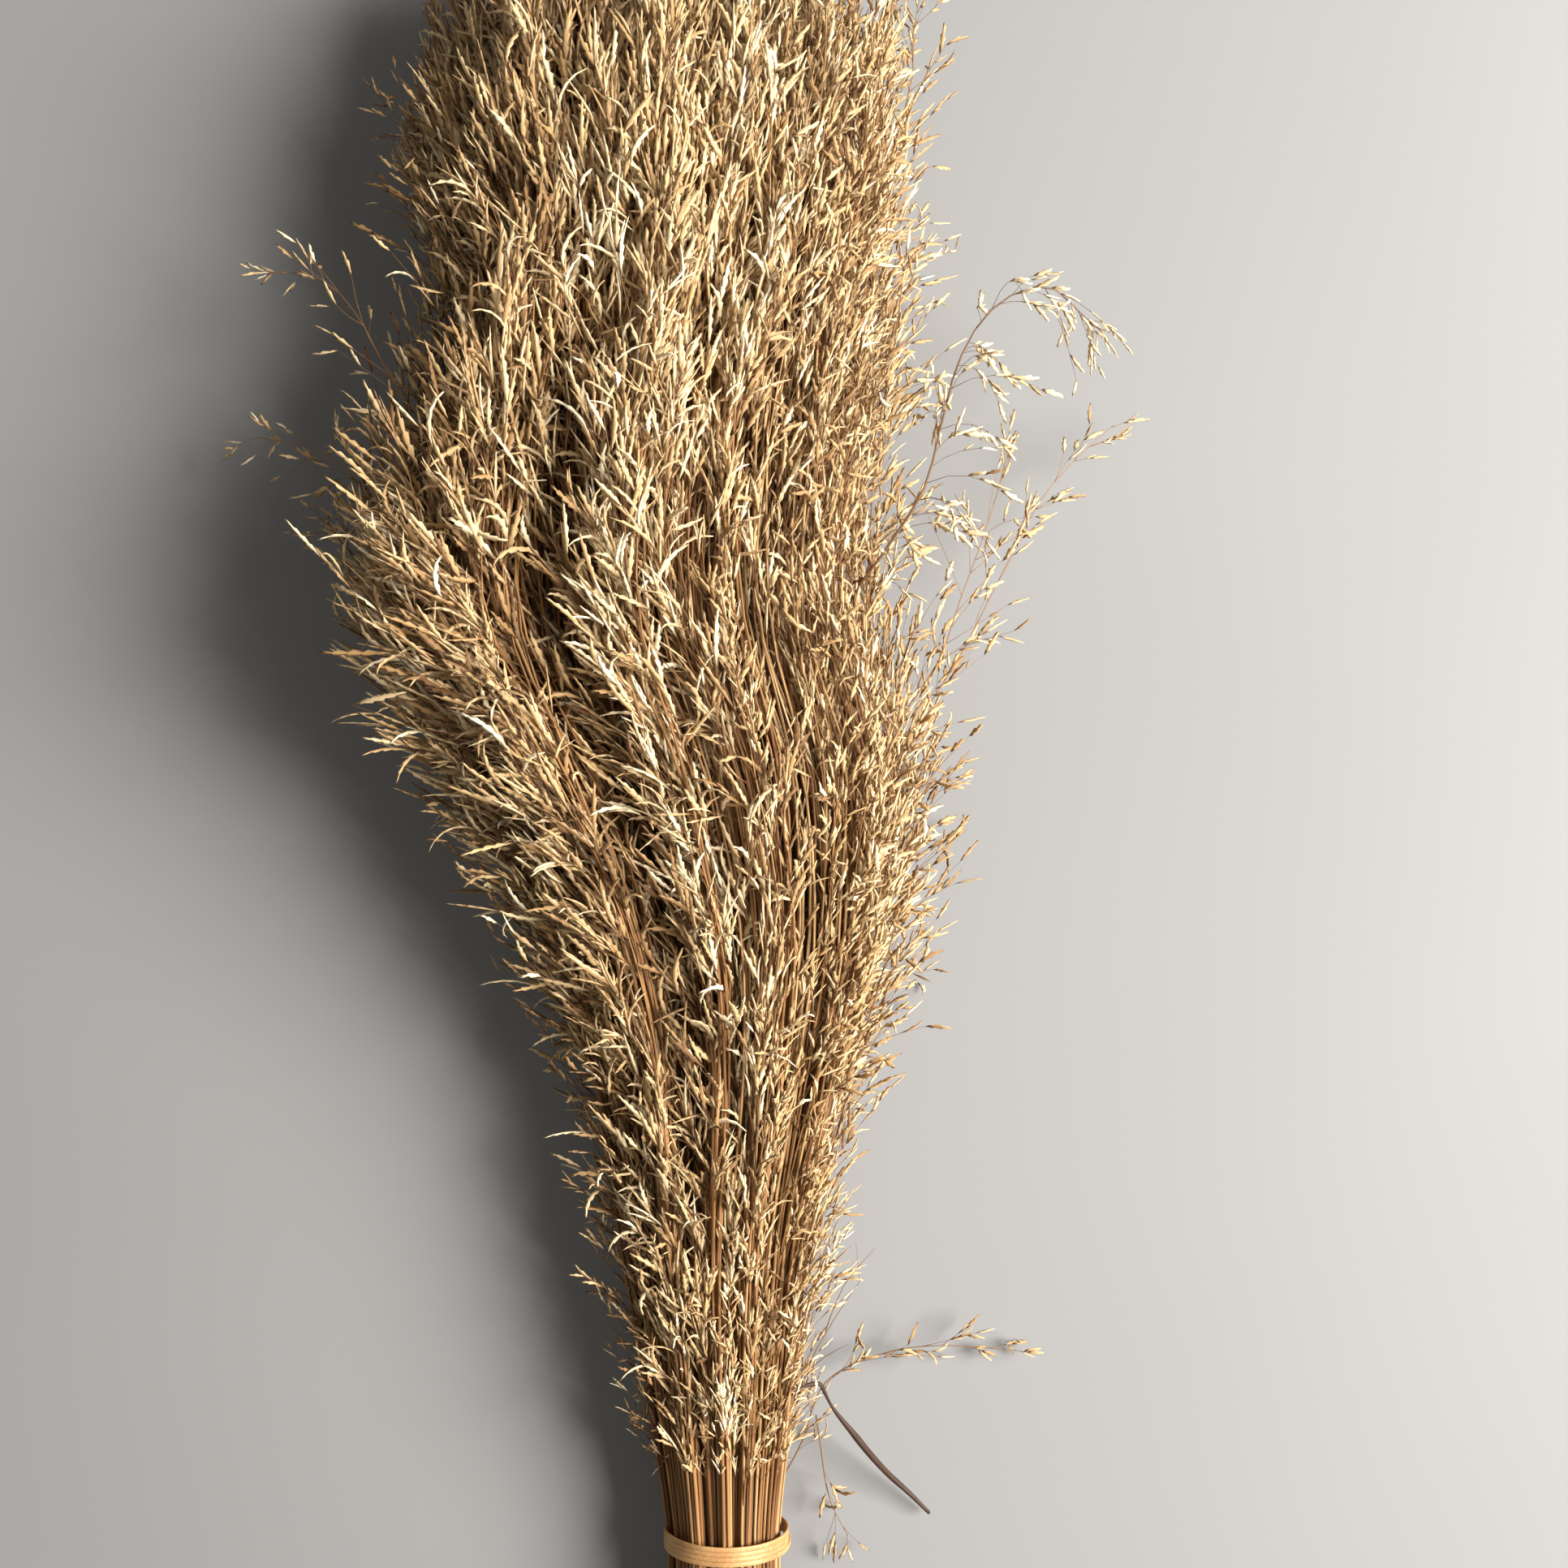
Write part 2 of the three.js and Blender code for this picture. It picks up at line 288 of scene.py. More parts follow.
class Pile:
    """Collects many small closed shapes, to be made into one mesh.

    Every corner has a "straw" value: the shape's tone, then its place along and across the shape.
    Each shape has a cell of its own in the UV map.
    """

    CELL_MARGIN = 0.06

    def __init__(self):
        self.points = []
        self.straw = []
        self.polygons = []
        self.point_count = 0
        self.cell_count = 0

    def add(self, points, tones, along, across, shapes, material):
        """points is (shape, corner, 3), tones has one for each shape, and along and across have one for
        each corner. shapes lists (polygons, their corners' UV places)."""
        count, corners = points.shape[:2]
        straw = np.stack(np.broadcast_arrays(tones[:, None], along, across), axis=-1)
        number = np.arange(count)
        for polygons, places in shapes:
            total = count * len(polygons)
            numbered = polygons + (self.point_count + number * corners)[:, None, None]
            cells = np.repeat(self.cell_count + number, polygons.size)
            places = np.tile(places.reshape(-1, 2), (count, 1))
            sides = np.full(total, polygons.shape[1])
            self.polygons.append((numbered.ravel(), cells, places, sides, np.full(total, material)))
        self.points.append(points.reshape(-1, 3))
        self.straw.append(straw.reshape(-1, 3))
        self.point_count += count * corners
        self.cell_count += count

    def make(self, name, materials):
        """The mesh object, with every point kept off the ground and under the bundle's top."""
        points = within_heights(np.concatenate(self.points)) * MM
        corners, cells, places, sides, material = map(np.concatenate, zip(*self.polygons))
        cells_a_side = math.ceil(math.sqrt(self.cell_count))
        cell_places = np.stack(np.divmod(cells, cells_a_side)[::-1], axis=1)
        uv = (cell_places + self.CELL_MARGIN + (1 - 2 * self.CELL_MARGIN) * places) / cells_a_side
        mesh = bpy.data.meshes.new(name)
        mesh.vertices.add(len(points))
        mesh.loops.add(len(corners))
        mesh.polygons.add(len(sides))
        fill(mesh.vertices, "co", points)
        fill(mesh.loops, "vertex_index", corners, np.int32)
        fill(mesh.polygons, "loop_start", np.cumsum(sides) - sides, np.int32)
        fill(mesh.polygons, "use_smooth", np.ones(len(sides)), bool)
        fill(mesh.polygons, "material_index", material, np.int32)
        straw = mesh.attributes.new("straw", "FLOAT_VECTOR", "POINT")
        fill(straw.data, "vector", np.concatenate(self.straw))
        uv_map = mesh.uv_layers.new(name="OFBake")
        fill(uv_map.data, "uv", uv)
        for used in materials:
            mesh.materials.append(used)
        mesh.update()
        return put_in_scene(name, mesh)


FLOOR_SOFTNESS = 3.5
TOP_SOFTNESS = 5.0
TOP_ALLOWANCE = 11.0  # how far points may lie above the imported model's top


def within_heights(points):
    """Settles points that would be below the ground or above the bundle's top, without creasing."""
    points = points.copy()
    top = CEILING + TOP_ALLOWANCE
    height = FLOOR_SOFTNESS * np.logaddexp(0, points[:, 2] / FLOOR_SOFTNESS)
    points[:, 2] = top - TOP_SOFTNESS * np.logaddexp(0, (top - height) / TOP_SOFTNESS)
    return points


def tube_shapes(rings, sides):
    """A tube's polygons: quads between its rings, and a point closing each end. Corners are numbered
    ring by ring, then the first point and the last."""
    side = np.arange(sides)
    beside = (side + 1) % sides
    left, right = side / sides, (side + 1) / sides
    level = np.arange(rings + 2) / (rings + 1)

    def shape(columns, places):
        places = [np.stack(np.broadcast_arrays(*place), axis=-1) for place in places]
        return np.stack(columns, axis=-1), np.stack(places, axis=1)

    shapes = []
    for ring in range(rings - 1):
        low, high = ring * sides, (ring + 1) * sides
        near, far = level[ring + 1], level[ring + 2]
        columns = [low + side, low + beside, high + beside, high + side]
        shapes.append(shape(columns, [(left, near), (right, near), (right, far), (left, far)]))
    first, last = np.full((2, sides), [[rings * sides], [rings * sides + 1]])
    top = (rings - 1) * sides
    shapes.append(shape([first, beside, side], [(left, 0), (right, level[1]), (left, level[1])]))
    places = [(left, 1), (left, level[-2]), (right, level[-2])]
    shapes.append(shape([last, top + side, top + beside], places))
    return shapes


HOLLOW_DEPTH = 2.5
HOLLOW_SHARE = 0.6  # the bore's radius, as a share of the stem's
CAP_HEIGHT = 0.3  # of a solid stem's start, as a share of its radius


def add_tubes(pile, paths, radii, tones, sides, hollow):
    """Round stems along paths (stem, station, 3). A hollow stem shows its bore at the cut end."""
    tangents = unit(np.gradient(paths, axis=1))
    mean = np.abs(tangents.mean(axis=1))
    reference = np.eye(3)[mean.argmin(axis=1)][:, None]
    first = unit(np.cross(tangents, reference))
    second = np.cross(tangents, first)
    turn = np.arange(sides) * 2 * math.pi / sides
    around = first[:, :, None] * np.cos(turn)[:, None] + second[:, :, None] * np.sin(turn)[:, None]
    rings = paths[:, :, None] + around * radii[:, :, None, None]
    start = paths[:, 0] - tangents[:, 0] * radii[:, :1] * CAP_HEIGHT
    if hollow:
        rim = paths[:, :1, None] + around[:, :1] * radii[:, :1, None, None] * HOLLOW_SHARE
        depth = tangents[:, :1, None] * HOLLOW_DEPTH
        rings = np.concatenate([rim + depth, rim, rings], axis=1)
        start = paths[:, 0] + tangents[:, 0] * HOLLOW_DEPTH
    end = paths[:, -1] + tangents[:, -1] * radii[:, -1:]
    count, ring_count = rings.shape[:2]
    points = np.concatenate([rings.reshape(count, -1, 3), start[:, None], end[:, None]], axis=1)
    along = np.append(np.repeat(np.linspace(0, 1, ring_count), sides), [0, 1])
    across = np.append(np.tile(np.sin(turn), ring_count), [0, 0])
    pile.add(points, tones, along, across, tube_shapes(ring_count, sides), STEM)


BELLY_PLACE = 0.8  # a power: less puts a spikelet's belly nearer its foot
BELLY_FULLNESS = 0.85  # a power: less makes the whole spikelet plumper
# The teeth of a spikelet's edges. Lengths are shares of the distance between two teeth, widths are shares
# of the spikelet's width there.
SIDE_SHIFT = 0.3  # how far one edge's teeth are behind the other's
VALLEY_WIDTH = 0.52
VALLEY_ACROSS = 0.6  # a valley's across value
TOOTH_PLACE = 0.86
TOOTH_WIDTH = 1.15
TOOTH_ROOT = 0.3  # how far behind a tooth its width is taken
HUSK_UV_WIDTH = 2.4


def husk_width(along):
    """A spikelet's half width at a share of its length: a thin foot, a belly and a long tip."""
    return np.sin(math.pi * np.clip(along, 0, 1) ** BELLY_PLACE) ** BELLY_FULLNESS


def husk_template(teeth):
    """A spikelet: its corners (across, along, thick, as shares), their across values and triangles.

    Its husks overlap, so each edge is a row of teeth that point at the tip. A ridge runs along the
    middle of the front and of the back.
    """
    pitch = 1 / teeth
    corners = [[0, 0, 0, 0], [0, 1, 0, 0]]  # the foot and the tip, each with its across value last

    def row(places, widths, heights, value):
        """Adds a row of corners, and gives their numbers."""
        first = len(corners)
        corners.extend([*corner, value] for corner in zip(widths, places, heights))
        return list(range(first, len(corners)))

    inner = np.arange(1, teeth) * pitch
    level = np.zeros(teeth)
    ridges = [(face, [0, *row(inner, level, face * husk_width(inner), 0), 1]) for face in (1, -1)]
    triangles = []
    for side in (1, -1):
        shift = SIDE_SHIFT * pitch if side > 0 else 0
        places = inner - shift
        widths = side * VALLEY_WIDTH * husk_width(places)
        valleys = [0, *row(places, widths, level, side * VALLEY_ACROSS), 1]
        places = (np.arange(teeth) + TOOTH_PLACE) * pitch - shift
        widths = side * TOOTH_WIDTH * husk_width(places - pitch * TOOTH_ROOT)
        tips = row(places, widths, level, side)
        for face, ridge in ridges:
            for step, tip in enumerate(tips):
                fan = [ridge[step], valleys[step], tip, ridge[step + 1], valleys[step + 1]]
                for triangle in ((0, 1, 2), (0, 2, 3), (3, 2, 4)):
                    numbers = [fan[corner] for corner in triangle][:: -side * face]
                    if len(set(numbers)) == 3:
                        triangles.append(numbers)
    corners = np.array(corners, float)
    return corners[:, :3], corners[:, 3], np.array(triangles)


HUSKS = [husk_template(teeth) for teeth in (3, 4, 5)]


class Spikelets(NamedTuple):
    """Many spikelets: each has a foot, a direction, a flat side's facing, sizes, a bend and a tone."""

    foot: np.ndarray
    direction: np.ndarray
    facing: np.ndarray
    length: np.ndarray
    width: np.ndarray
    bend: np.ndarray
    bend_turn: np.ndarray
    tone: np.ndarray

    def pick(self, chosen):
        """Only the chosen ones."""
        return Spikelets(*(values[chosen] for values in self))


THICKNESS_SHARE = 0.5
FEWEST_TEETH_BELOW = 14.0  # mm long
TOOTH_EVERY = 4.0  # each tooth more needs this much more length


def add_spikelets(pile, batch):
    """Every spikelet of the batch, long ones with more teeth."""
    kind = (batch.length - FEWEST_TEETH_BELOW) // TOOTH_EVERY + 1
    kind = np.clip(kind, 0, len(HUSKS) - 1).astype(int)
    for number, (corners, across, triangles) in enumerate(HUSKS):
        some = batch.pick(kind == number)
        if len(some.length) == 0:
            continue
        points = bent_husks(some, corners)
        along = corners[:, 1]
        places = np.stack([0.5 + corners[:, 0] / HUSK_UV_WIDTH, along], axis=-1)
        pile.add(points, some.tone, along, across, [(triangles, places[triangles])], HUSK)


def bent_husks(batch, corners):
    """The template's corners on each spikelet, bent evenly along its length."""
    leaning = (batch.facing * batch.direction).sum(-1, keepdims=True)
    facing = unit(batch.facing - batch.direction * leaning)
    side = np.cross(batch.direction, facing)
    towards = np.cos(batch.bend_turn)[:, None] * facing + np.sin(batch.bend_turn)[:, None] * side
    steady = np.cross(batch.direction, towards)
    angle = batch.bend[:, None] * corners[:, 1]
    radius = (batch.length / batch.bend)[:, None]
    forward = radius * np.sin(angle)
    aside = radius * (1 - np.cos(angle))
    turned = (
        -np.sin(angle)[..., None] * batch.direction[:, None]
        + np.cos(angle)[..., None] * towards[:, None]
    )
    across = batch.width[:, None] / 2 * corners[:, 0]
    thick = batch.width[:, None] / 2 * THICKNESS_SHARE * corners[:, 2]
    on_bend = across * np.sin(batch.bend_turn)[:, None] + thick * np.cos(batch.bend_turn)[:, None]
    on_steady = across * (side * steady).sum(-1)[:, None] + thick * (facing * steady).sum(-1)[:, None]
    return (
        batch.foot[:, None]
        + forward[..., None] * batch.direction[:, None]
        + aside[..., None] * towards[:, None]
        + on_bend[..., None] * turned
        + on_steady[..., None] * steady[:, None]
    )


# ---------------------------------------------------------------- growing seed heads

@dataclass(frozen=True)
class Habit:
    """How a seed head grows. Lengths in mm, angles in degrees, pairs are (least, most)."""

    spacing: tuple = (7.5, 11.5)
    branch_length: tuple = (16, 50)
    branch_angle: tuple = (4, 21)
    spikelets: tuple = (3, 5)
    spikelet_length: tuple = (13, 25)
    spikelet_width: tuple = (1.9, 2.9)
    spikelet_angle: tuple = (3, 15)
    bend: float = 0.1
    droop: float = 0.0
    outward: float = 1.3
    wild: float = 0.06
    curled: float = 0.12
    hair: float = 0.17


BRANCH_STATIONS = 5
BRANCH_TAPER = 0.55  # a branch's radius at its tip, as a share of that at its foot
FIRST_SPIKELET = 0.35  # spikelets sit further along their branch than this share of it
FLANK_TURNS = 0.5  # how much the spikelets' side of the branch varies
END_LEAN = 0.3  # the last spikelet's lean, as a share of the others'
STRAYING = 0.15  # how much each spikelet's direction varies
WILD_STRAYING = 1.3  # and that of a wild one
FACING_TURNS = 0.7  # how much the flat sides' facing varies
SMALLEST_GROWN = 0.5  # length of the spikelets on the very shortest branches
SLIMMEST_GROWN = 0.4  # and their width
USUAL_BEND = (0.12, 0.28)  # in radians: its middle and spread
LEAST_BEND = 0.03
CURLED_BEND = (0.8, 1.9)
SPIKELET_TONES = 0.17  # their spread
CURLED_TONE = 0.16  # how much paler a curled spikelet is
TONE_LIMITS = (0.02, 0.98)
BRANCH_SIDES = 3
BRANCH_DARKER = 0.05  # than its spikelets
DOUBLED_SHARE = 0.3  # of the branches have another one on the same spot
BARE_TIP = 3.0  # no branch grows this close to a stalk's tip, apart from the one on the tip
VIGOUR = (0.5, 0.6)  # a branch's share of its full length: the least, and what the middle adds
VIGOUR_FROM = 0.12  # where the head's lowest branch is on that rise and fall


def uniform(rng, limits, size):
    """Random numbers between a pair of limits."""
    return rng.uniform(limits[0], limits[1], size)


def random_units(rng, shape):
    """Random directions."""
    return unit(rng.normal(size=(*shape, 3)))


def grow_branches(rng, feet, tangents, outward, habit, tone, vigour):
    """Branches from points on a stalk, and their spikelets. vigour scales each branch's length."""
    count = len(feet)
    outward = unit(outward - tangents * (outward * tangents).sum(-1, keepdims=True))
    beside = np.cross(tangents, outward)
    turn = rng.normal(0, habit.outward, count)[:, None]
    away = np.cos(turn) * outward + np.sin(turn) * beside
    angle = np.radians(uniform(rng, habit.branch_angle, count))[:, None]
    heading = np.cos(angle) * tangents + np.sin(angle) * away
    length = (uniform(rng, habit.branch_length, count) * vigour)[:, None]
    curve = rng.normal(0, habit.bend, (count, 1)) * random_units(rng, (count,))
    curve = curve + habit.droop * DOWN_THE_STALKS
    share = np.linspace(0, 1, BRANCH_STATIONS)[None, :, None]
    paths = feet[:, None] + length[:, None] * (share * heading[:, None] + share**2 * curve[:, None])

    most = habit.spikelets[1]
    wanted = rng.integers(habit.spikelets[0], most + 1, count)
    order = np.arange(most)[None]
    held = order < wanted[:, None]
    at = FIRST_SPIKELET + (1 - FIRST_SPIKELET) * (order + 1) / wanted[:, None]
    at = np.minimum(1, at)[..., None]
    foot = feet[:, None] + length[:, None] * (at * heading[:, None] + at**2 * curve[:, None])
    along = unit(heading[:, None] + 2 * at * curve[:, None])
    flank = unit(np.cross(along, away[:, None] + FLANK_TURNS * random_units(rng, (count, 1))))
    lean = np.radians(uniform(rng, habit.spikelet_angle, (count, most)))[..., None]
    last = (order == wanted[:, None] - 1)[..., None]
    lean = np.where(last, END_LEAN * lean, lean)
    alternate = np.where(order % 2 == 0, 1, -1)[..., None]
    direction = along + np.tan(lean) * alternate * flank
    direction = direction + STRAYING * rng.normal(size=direction.shape)
    wild = rng.random((count, most, 1)) < habit.wild
    direction = unit(direction + wild * WILD_STRAYING * random_units(rng, (count, most)))
    facing = away[:, None] + FACING_TURNS * rng.normal(size=direction.shape)
    grown = np.minimum(1, vigour)[:, None]
    size = uniform(rng, habit.spikelet_length, (count, most))
    size = size * (SMALLEST_GROWN + (1 - SMALLEST_GROWN) * grown)
    width = uniform(rng, habit.spikelet_width, (count, most))
    width = width * (SLIMMEST_GROWN + (1 - SLIMMEST_GROWN) * grown)
    bend = np.abs(rng.normal(*USUAL_BEND, (count, most))) + LEAST_BEND
    curled = rng.random((count, most)) < habit.curled
    bend = np.where(curled, uniform(rng, CURLED_BEND, (count, most)), bend)
    tones = tone + rng.normal(0, SPIKELET_TONES, (count, most)) + CURLED_TONE * curled
    tones = np.clip(tones, *TONE_LIMITS)
    bend_turn = rng.uniform(-math.pi, math.pi, (count, most))
    batch = Spikelets(foot, direction, facing, size, width, bend, bend_turn, tones)
    thin = np.linspace(1, BRANCH_TAPER, BRANCH_STATIONS)[None] * habit.hair
    return paths, np.repeat(thin, count, axis=0), batch.pick(held)


class Growth:
    """Everything that grows in one piece. Stems and branches are batches of (paths, radii, tones)."""

    def __init__(self):
        self.stems = []
        self.branches = []
        self.spikelets = []

    def add_stem(self, path, radii, tone):
        self.stems.append((path[None], radii[None], [tone]))

    def add_head(self, rng, path, start, outward, habit, tone, vigour_at=None):
        """A seed head on the stalk's last part, from the start (a distance along its path) to its tip.
        outward and vigour_at give the branches' side and their share of full length, from their feet."""
        travelled = lengths_along(path)
        total = travelled[-1]
        rough = int((total - start) / habit.spacing[0]) + 1
        places = start + np.cumsum(uniform(rng, habit.spacing, rough))
        places = places[places < total - BARE_TIP]
        if len(places) == 0:
            return
        doubled = places[rng.random(len(places)) < DOUBLED_SHARE]
        places = np.sort(np.concatenate([places, doubled, [total - 1]]))
        feet = points_at(places, travelled, path)
        ahead = points_at(places + 1, travelled, path)
        behind = points_at(places - 1, travelled, path)
        tangents = unit(ahead - behind)
        share = (places - start) / (total - start)
        rise = np.clip(VIGOUR_FROM + (1 - VIGOUR_FROM) * share, 0, 1)
        vigour = VIGOUR[0] + VIGOUR[1] * np.sin(math.pi * rise)
        if vigour_at is not None:
            vigour = vigour * vigour_at(feet)
        facing = np.broadcast_to(outward(feet), feet.shape)
        paths, radii, batch = grow_branches(rng, feet, tangents, facing, habit, tone, vigour)
        self.branches.append((paths, radii, np.full(len(paths), tone - BRANCH_DARKER)))
        self.spikelets.append(batch)

    def make(self, name, husk, stem, hollow=True, sides=5):
        """The piece: its stems, branches and spikelets as one mesh object."""
        pile = Pile()
        kinds = [(self.stems, sides, hollow), (self.branches, BRANCH_SIDES, False)]
        for batches, tube_sides, is_hollow in kinds:
            if batches:
                paths, radii, tones = (np.concatenate(part) for part in zip(*batches))
                add_tubes(pile, paths, radii, np.clip(tones, *TONE_LIMITS), tube_sides, is_hollow)
        if self.spikelets:
            add_spikelets(pile, Spikelets(*map(np.concatenate, zip(*self.spikelets))))
        return pile.make(name, [husk, stem])


# ---------------------------------------------------------------- the sheaf

STEM_STATIONS = 36
OUTER_PLACE = 0.52  # handfuls further out than this show on the bundle's surface
OUTER_STALKS = 15
INNER_STALKS = 6
STALK_SPREAD = 1.12  # how far a handful's stalks spread, in its node's half sizes
INWARD = -0.45  # stalks placed further in than this in an outer handful don't show
# How far the stalks stay inside the head's outline, to leave room for their branches.
HEAD_TUCK = np.array([0.05, 0, 0.14])
TUCK_REACH = (20, 120)  # above the band, from where it starts to where it is full
WANDER = 2.5  # how far a stalk sways at WANDER_FULL from the band
WANDER_FULL = 400.0
WANDER_WAVES = (120, 320)
BUTT_RAGGEDNESS = 14.0  # how much shorter the shortest cut end is
TIP_RAGGEDNESS = 24.0
STEM_RADIUS = (0.75, 1.1)
NECK_RADIUS = 0.5  # of a stalk where its seed head starts
TIP_RADIUS = 0.22
LOWEST_SPIKELETS = 14.0  # above the band
FULL_VIGOUR = 260.0  # above the band, where the branches reach their full length
LEAST_VIGOUR = 0.3
HEAD_LENGTHS = (175, 265)
INNER_HEAD_LENGTH = 130.0
INNER_HEIGHTS = (0.86, 1)  # the stalks that don't show, as shares of the bundle's reach
# The outer stalks' tips: the share of them that end below each share of the bundle's reach. They are
# spread so that the seed heads cover the narrow foot and the wide head alike.
TIP_SHARES = [(0, 0.1), (0.17, 0.34), (0.45, 0.62), (0.65, 0.84), (1, 1)]
HANDFUL_STEP = 0.37  # how far along the shares each handful starts after the one before
FLARE_FROM = 330.0  # above the band, where the head's tips start to flare sideways
FLARE_FULL = 520.0
FLARE = (2, 20)  # how far the tips flare
# How much of its full lean a stalk has, by its tip's distance above the band, and how far its tip leans
# towards -X in full, by its place across from the bundle's middle.
LEAN_SHARES = [(190, 0), (400, 1), (620, 0)]
FULL_LEANS = [(-110, -10), (-80, 8), (-40, 40), (0, 38), (45, 0)]
LEAN_VARIATION = (0.3, 1.3)
LEANING = 8.0  # a stalk that leans this far has a loose, curly head
BEND_FROM = -1.2  # bows and leans start where this line, which ends at 1, comes above 0

TALLEST = GRID[-1] - 10  # the place along of the longest stalks' tips, before they are rounded
ROUNDING = 42.0  # how much shorter the outermost stalks of the top are

COARSE_HABIT = Habit(
    branch_length=(14, 44), spikelets=(2, 5), spikelet_length=(14, 26), spikelet_width=(2.2, 3.3)
)
FINE_HABIT = Habit(spikelet_length=(10, 19), spikelet_width=(1.7, 2.6), branch_length=(14, 42))
LOW_TIPS = 330.0  # above the band: stalks that end below this have slim, close heads
CLOSE_HEAD = {"branch_angle": (3, 15), "spikelet_angle": (2, 12), "curled": 0.08}
LEANING_HEAD = {"branch_angle": (12, 44), "outward": 0.8, "spikelet_length": (14, 29), "curled": 0.3}
FLANK_SIDE = np.array([-1.3, 0, 0])  # how strongly a leaning head's branches grow towards -X
WISP_FROM = 50.0  # above the band, where the edge stalks' wisps start
EDGE_WISPS = Habit(
    spacing=(120, 270), branch_length=(20, 44), branch_angle=(18, 50), spikelets=(2, 6),
    spikelet_length=(7, 12), spikelet_width=(1.8, 2.6), spikelet_angle=(10, 40), bend=0.3,
    outward=0.4, wild=0.15, hair=0.14,
)
STEM_TONE = (0.52, 0.24)  # its middle and spread
USUAL_TONES = (0.56, 0.46)  # of coarse heads, and of fine heads
TONE_SPREAD = 0.13
HEAD_TONES = (0.15, 0.85)
FLANK_SHADE_TONE = -0.14  # painted shade: how much darker the -X flank is, the side turned from the key light
FLANK_SHADE_PLACES = (-0.8, -0.3)  # where across it is fully so, and where it stops
WISP_DARKER = 0.1
LOOSE_SHARES = (0.1, 0.3)  # of the stalks with coarse heads, and of those with fine heads
EDGE = 0.72  # stalks whose tips are further across than this are mostly loose
EDGE_LOOSE_SHARE = 0.6
BOW = (-4, 6)  # how far a stalk's tip bows out
LOOSE_BOW = (2, 16)  # how far a loose stalk's tip bows out
LOOSE_HABIT = Habit(
    spacing=(8, 14), branch_length=(20, 52), branch_angle=(12, 42), spikelets=(2, 5),
    spikelet_length=(8, 15), spikelet_width=(1.7, 2.6), spikelet_angle=(6, 28), bend=0.22, wild=0.12,
)


STRAIGHT_UP = 1e-6  # tips the balance for a point that is on the middle line itself


def from_bundle(points):
    """Unit vectors pointing away from the bundle's middle line."""
    away = points - middle_of_bundle(points)
    away[..., 2] += STRAIGHT_UP
    return unit(away)


def vigour_above_band(feet):
    """Branches near the band are short."""
    above = np.clip((feet[:, 1] - TIE[1]) / FULL_VIGOUR, 0, 1)
    return LEAST_VIGOUR + (1 - LEAST_VIGOUR) * above


def wander(rng, along):
    """A slow random sway, nothing at the band and larger further from it."""
    away = np.abs(along - TIE[1]) / WANDER_FULL
    phases = rng.uniform(0, 2 * math.pi, 4)[:2, None]  # the sway across and up take two of the four
    waves = uniform(rng, WANDER_WAVES, 2)[:, None]
    across, up = np.sin(along / waves * 2 * math.pi + phases) - np.sin(phases)
    return np.stack([across, np.zeros_like(along), up], axis=-1) * (away * WANDER)[:, None]


def stalk_path(rng, handful, offset, cut, tip):
    """A stalk's middle line inside its handful."""
    along = np.linspace(cut, tip, STEM_STATIONS)
    columns = handful.at(along)
    x = columns[:, 0] + offset[0] * columns[:, 2]
    z = columns[:, 1] + offset[1] * columns[:, 3]
    path = np.stack([x, along, z], axis=-1)
    tuck = np.interp(along - TIE[1], TUCK_REACH, (0, 1))
    path = path + (middle_of_bundle(path) - path) * HEAD_TUCK * tuck[:, None]
    return path + wander(rng, along)


def stem_radii(rng, path, head_share):
    """Thick at the cut, slender where the seed head starts, a hair at the tip."""
    share = np.linspace(0, 1, len(path))
    base = rng.uniform(*STEM_RADIUS)
    return np.interp(share, [0, head_share, 1], [base, NECK_RADIUS, TIP_RADIUS])


def lean(path):
    """How far a stalk's tip leans towards -X: the upper half of the bundle falls open there."""
    tip = path[-1] - middle_of_bundle(path[-1])
    above = path[-1, 1] - TIE[1]
    return np.interp(above, *zip(*LEAN_SHARES)) * np.interp(tip[0], *zip(*FULL_LEANS))


def towards_flank(points):
    """Away from the bundle's middle line, but mostly towards -X."""
    return unit(from_bundle(points) + FLANK_SIDE)


# The lines along the bundle's upper side where the stalks part: each one's place across, width, depth and
# reach above the band (where it starts, where it is full from and to, and where it ends).
FURROWS = [
    (-0.28, 0.16, 34, (90, 190, 430, 560)),
    (0.12, 0.06, 18, (60, 130, 330, 430)),
]
UPPER_SIDE = 30.0  # above the middle line, where a furrow has its full depth


def parted(path):
    """The path, lower where it runs through a furrow."""
    path = path.copy()
    across = place_across(path)
    above = path[:, 1] - TIE[1]
    upper = np.clip((path - middle_of_bundle(path))[:, 2] / UPPER_SIDE, 0, 1)
    for place, width, depth, reach in FURROWS:
        share = np.exp(-(((across - place) / width) ** 2)) * np.interp(above, reach, (0, 1, 1, 0))
        path[:, 2] -= depth * share * upper
    return path


COARSE_PLACE = -0.35  # the handfuls' place across, up to where the heads are all coarse
FINE_STEP = 0.9  # and how much further across they are all fine


def fineness(place):
    """0 on the -X side of the bundle, where the spikelets are large and pale, and 1 on the other."""
    return np.clip((place[0] - COARSE_PLACE) / FINE_STEP, 0, 1)


def mixed(coarse, fine, fine_share):
    """A value between the one for coarse heads and the one for fine heads."""
    return (1 - fine_share) * coarse + fine_share * fine


def mixed_habit(fine_share):
    """The seed heads' habit, from coarse to fine."""
    values = {}
    for name in ("spikelet_length", "spikelet_width", "branch_length"):
        coarse, fine = (np.array(getattr(habit, name)) for habit in (COARSE_HABIT, FINE_HABIT))
        values[name] = tuple(mixed(coarse, fine, fine_share))
    return replace(COARSE_HABIT, **values)


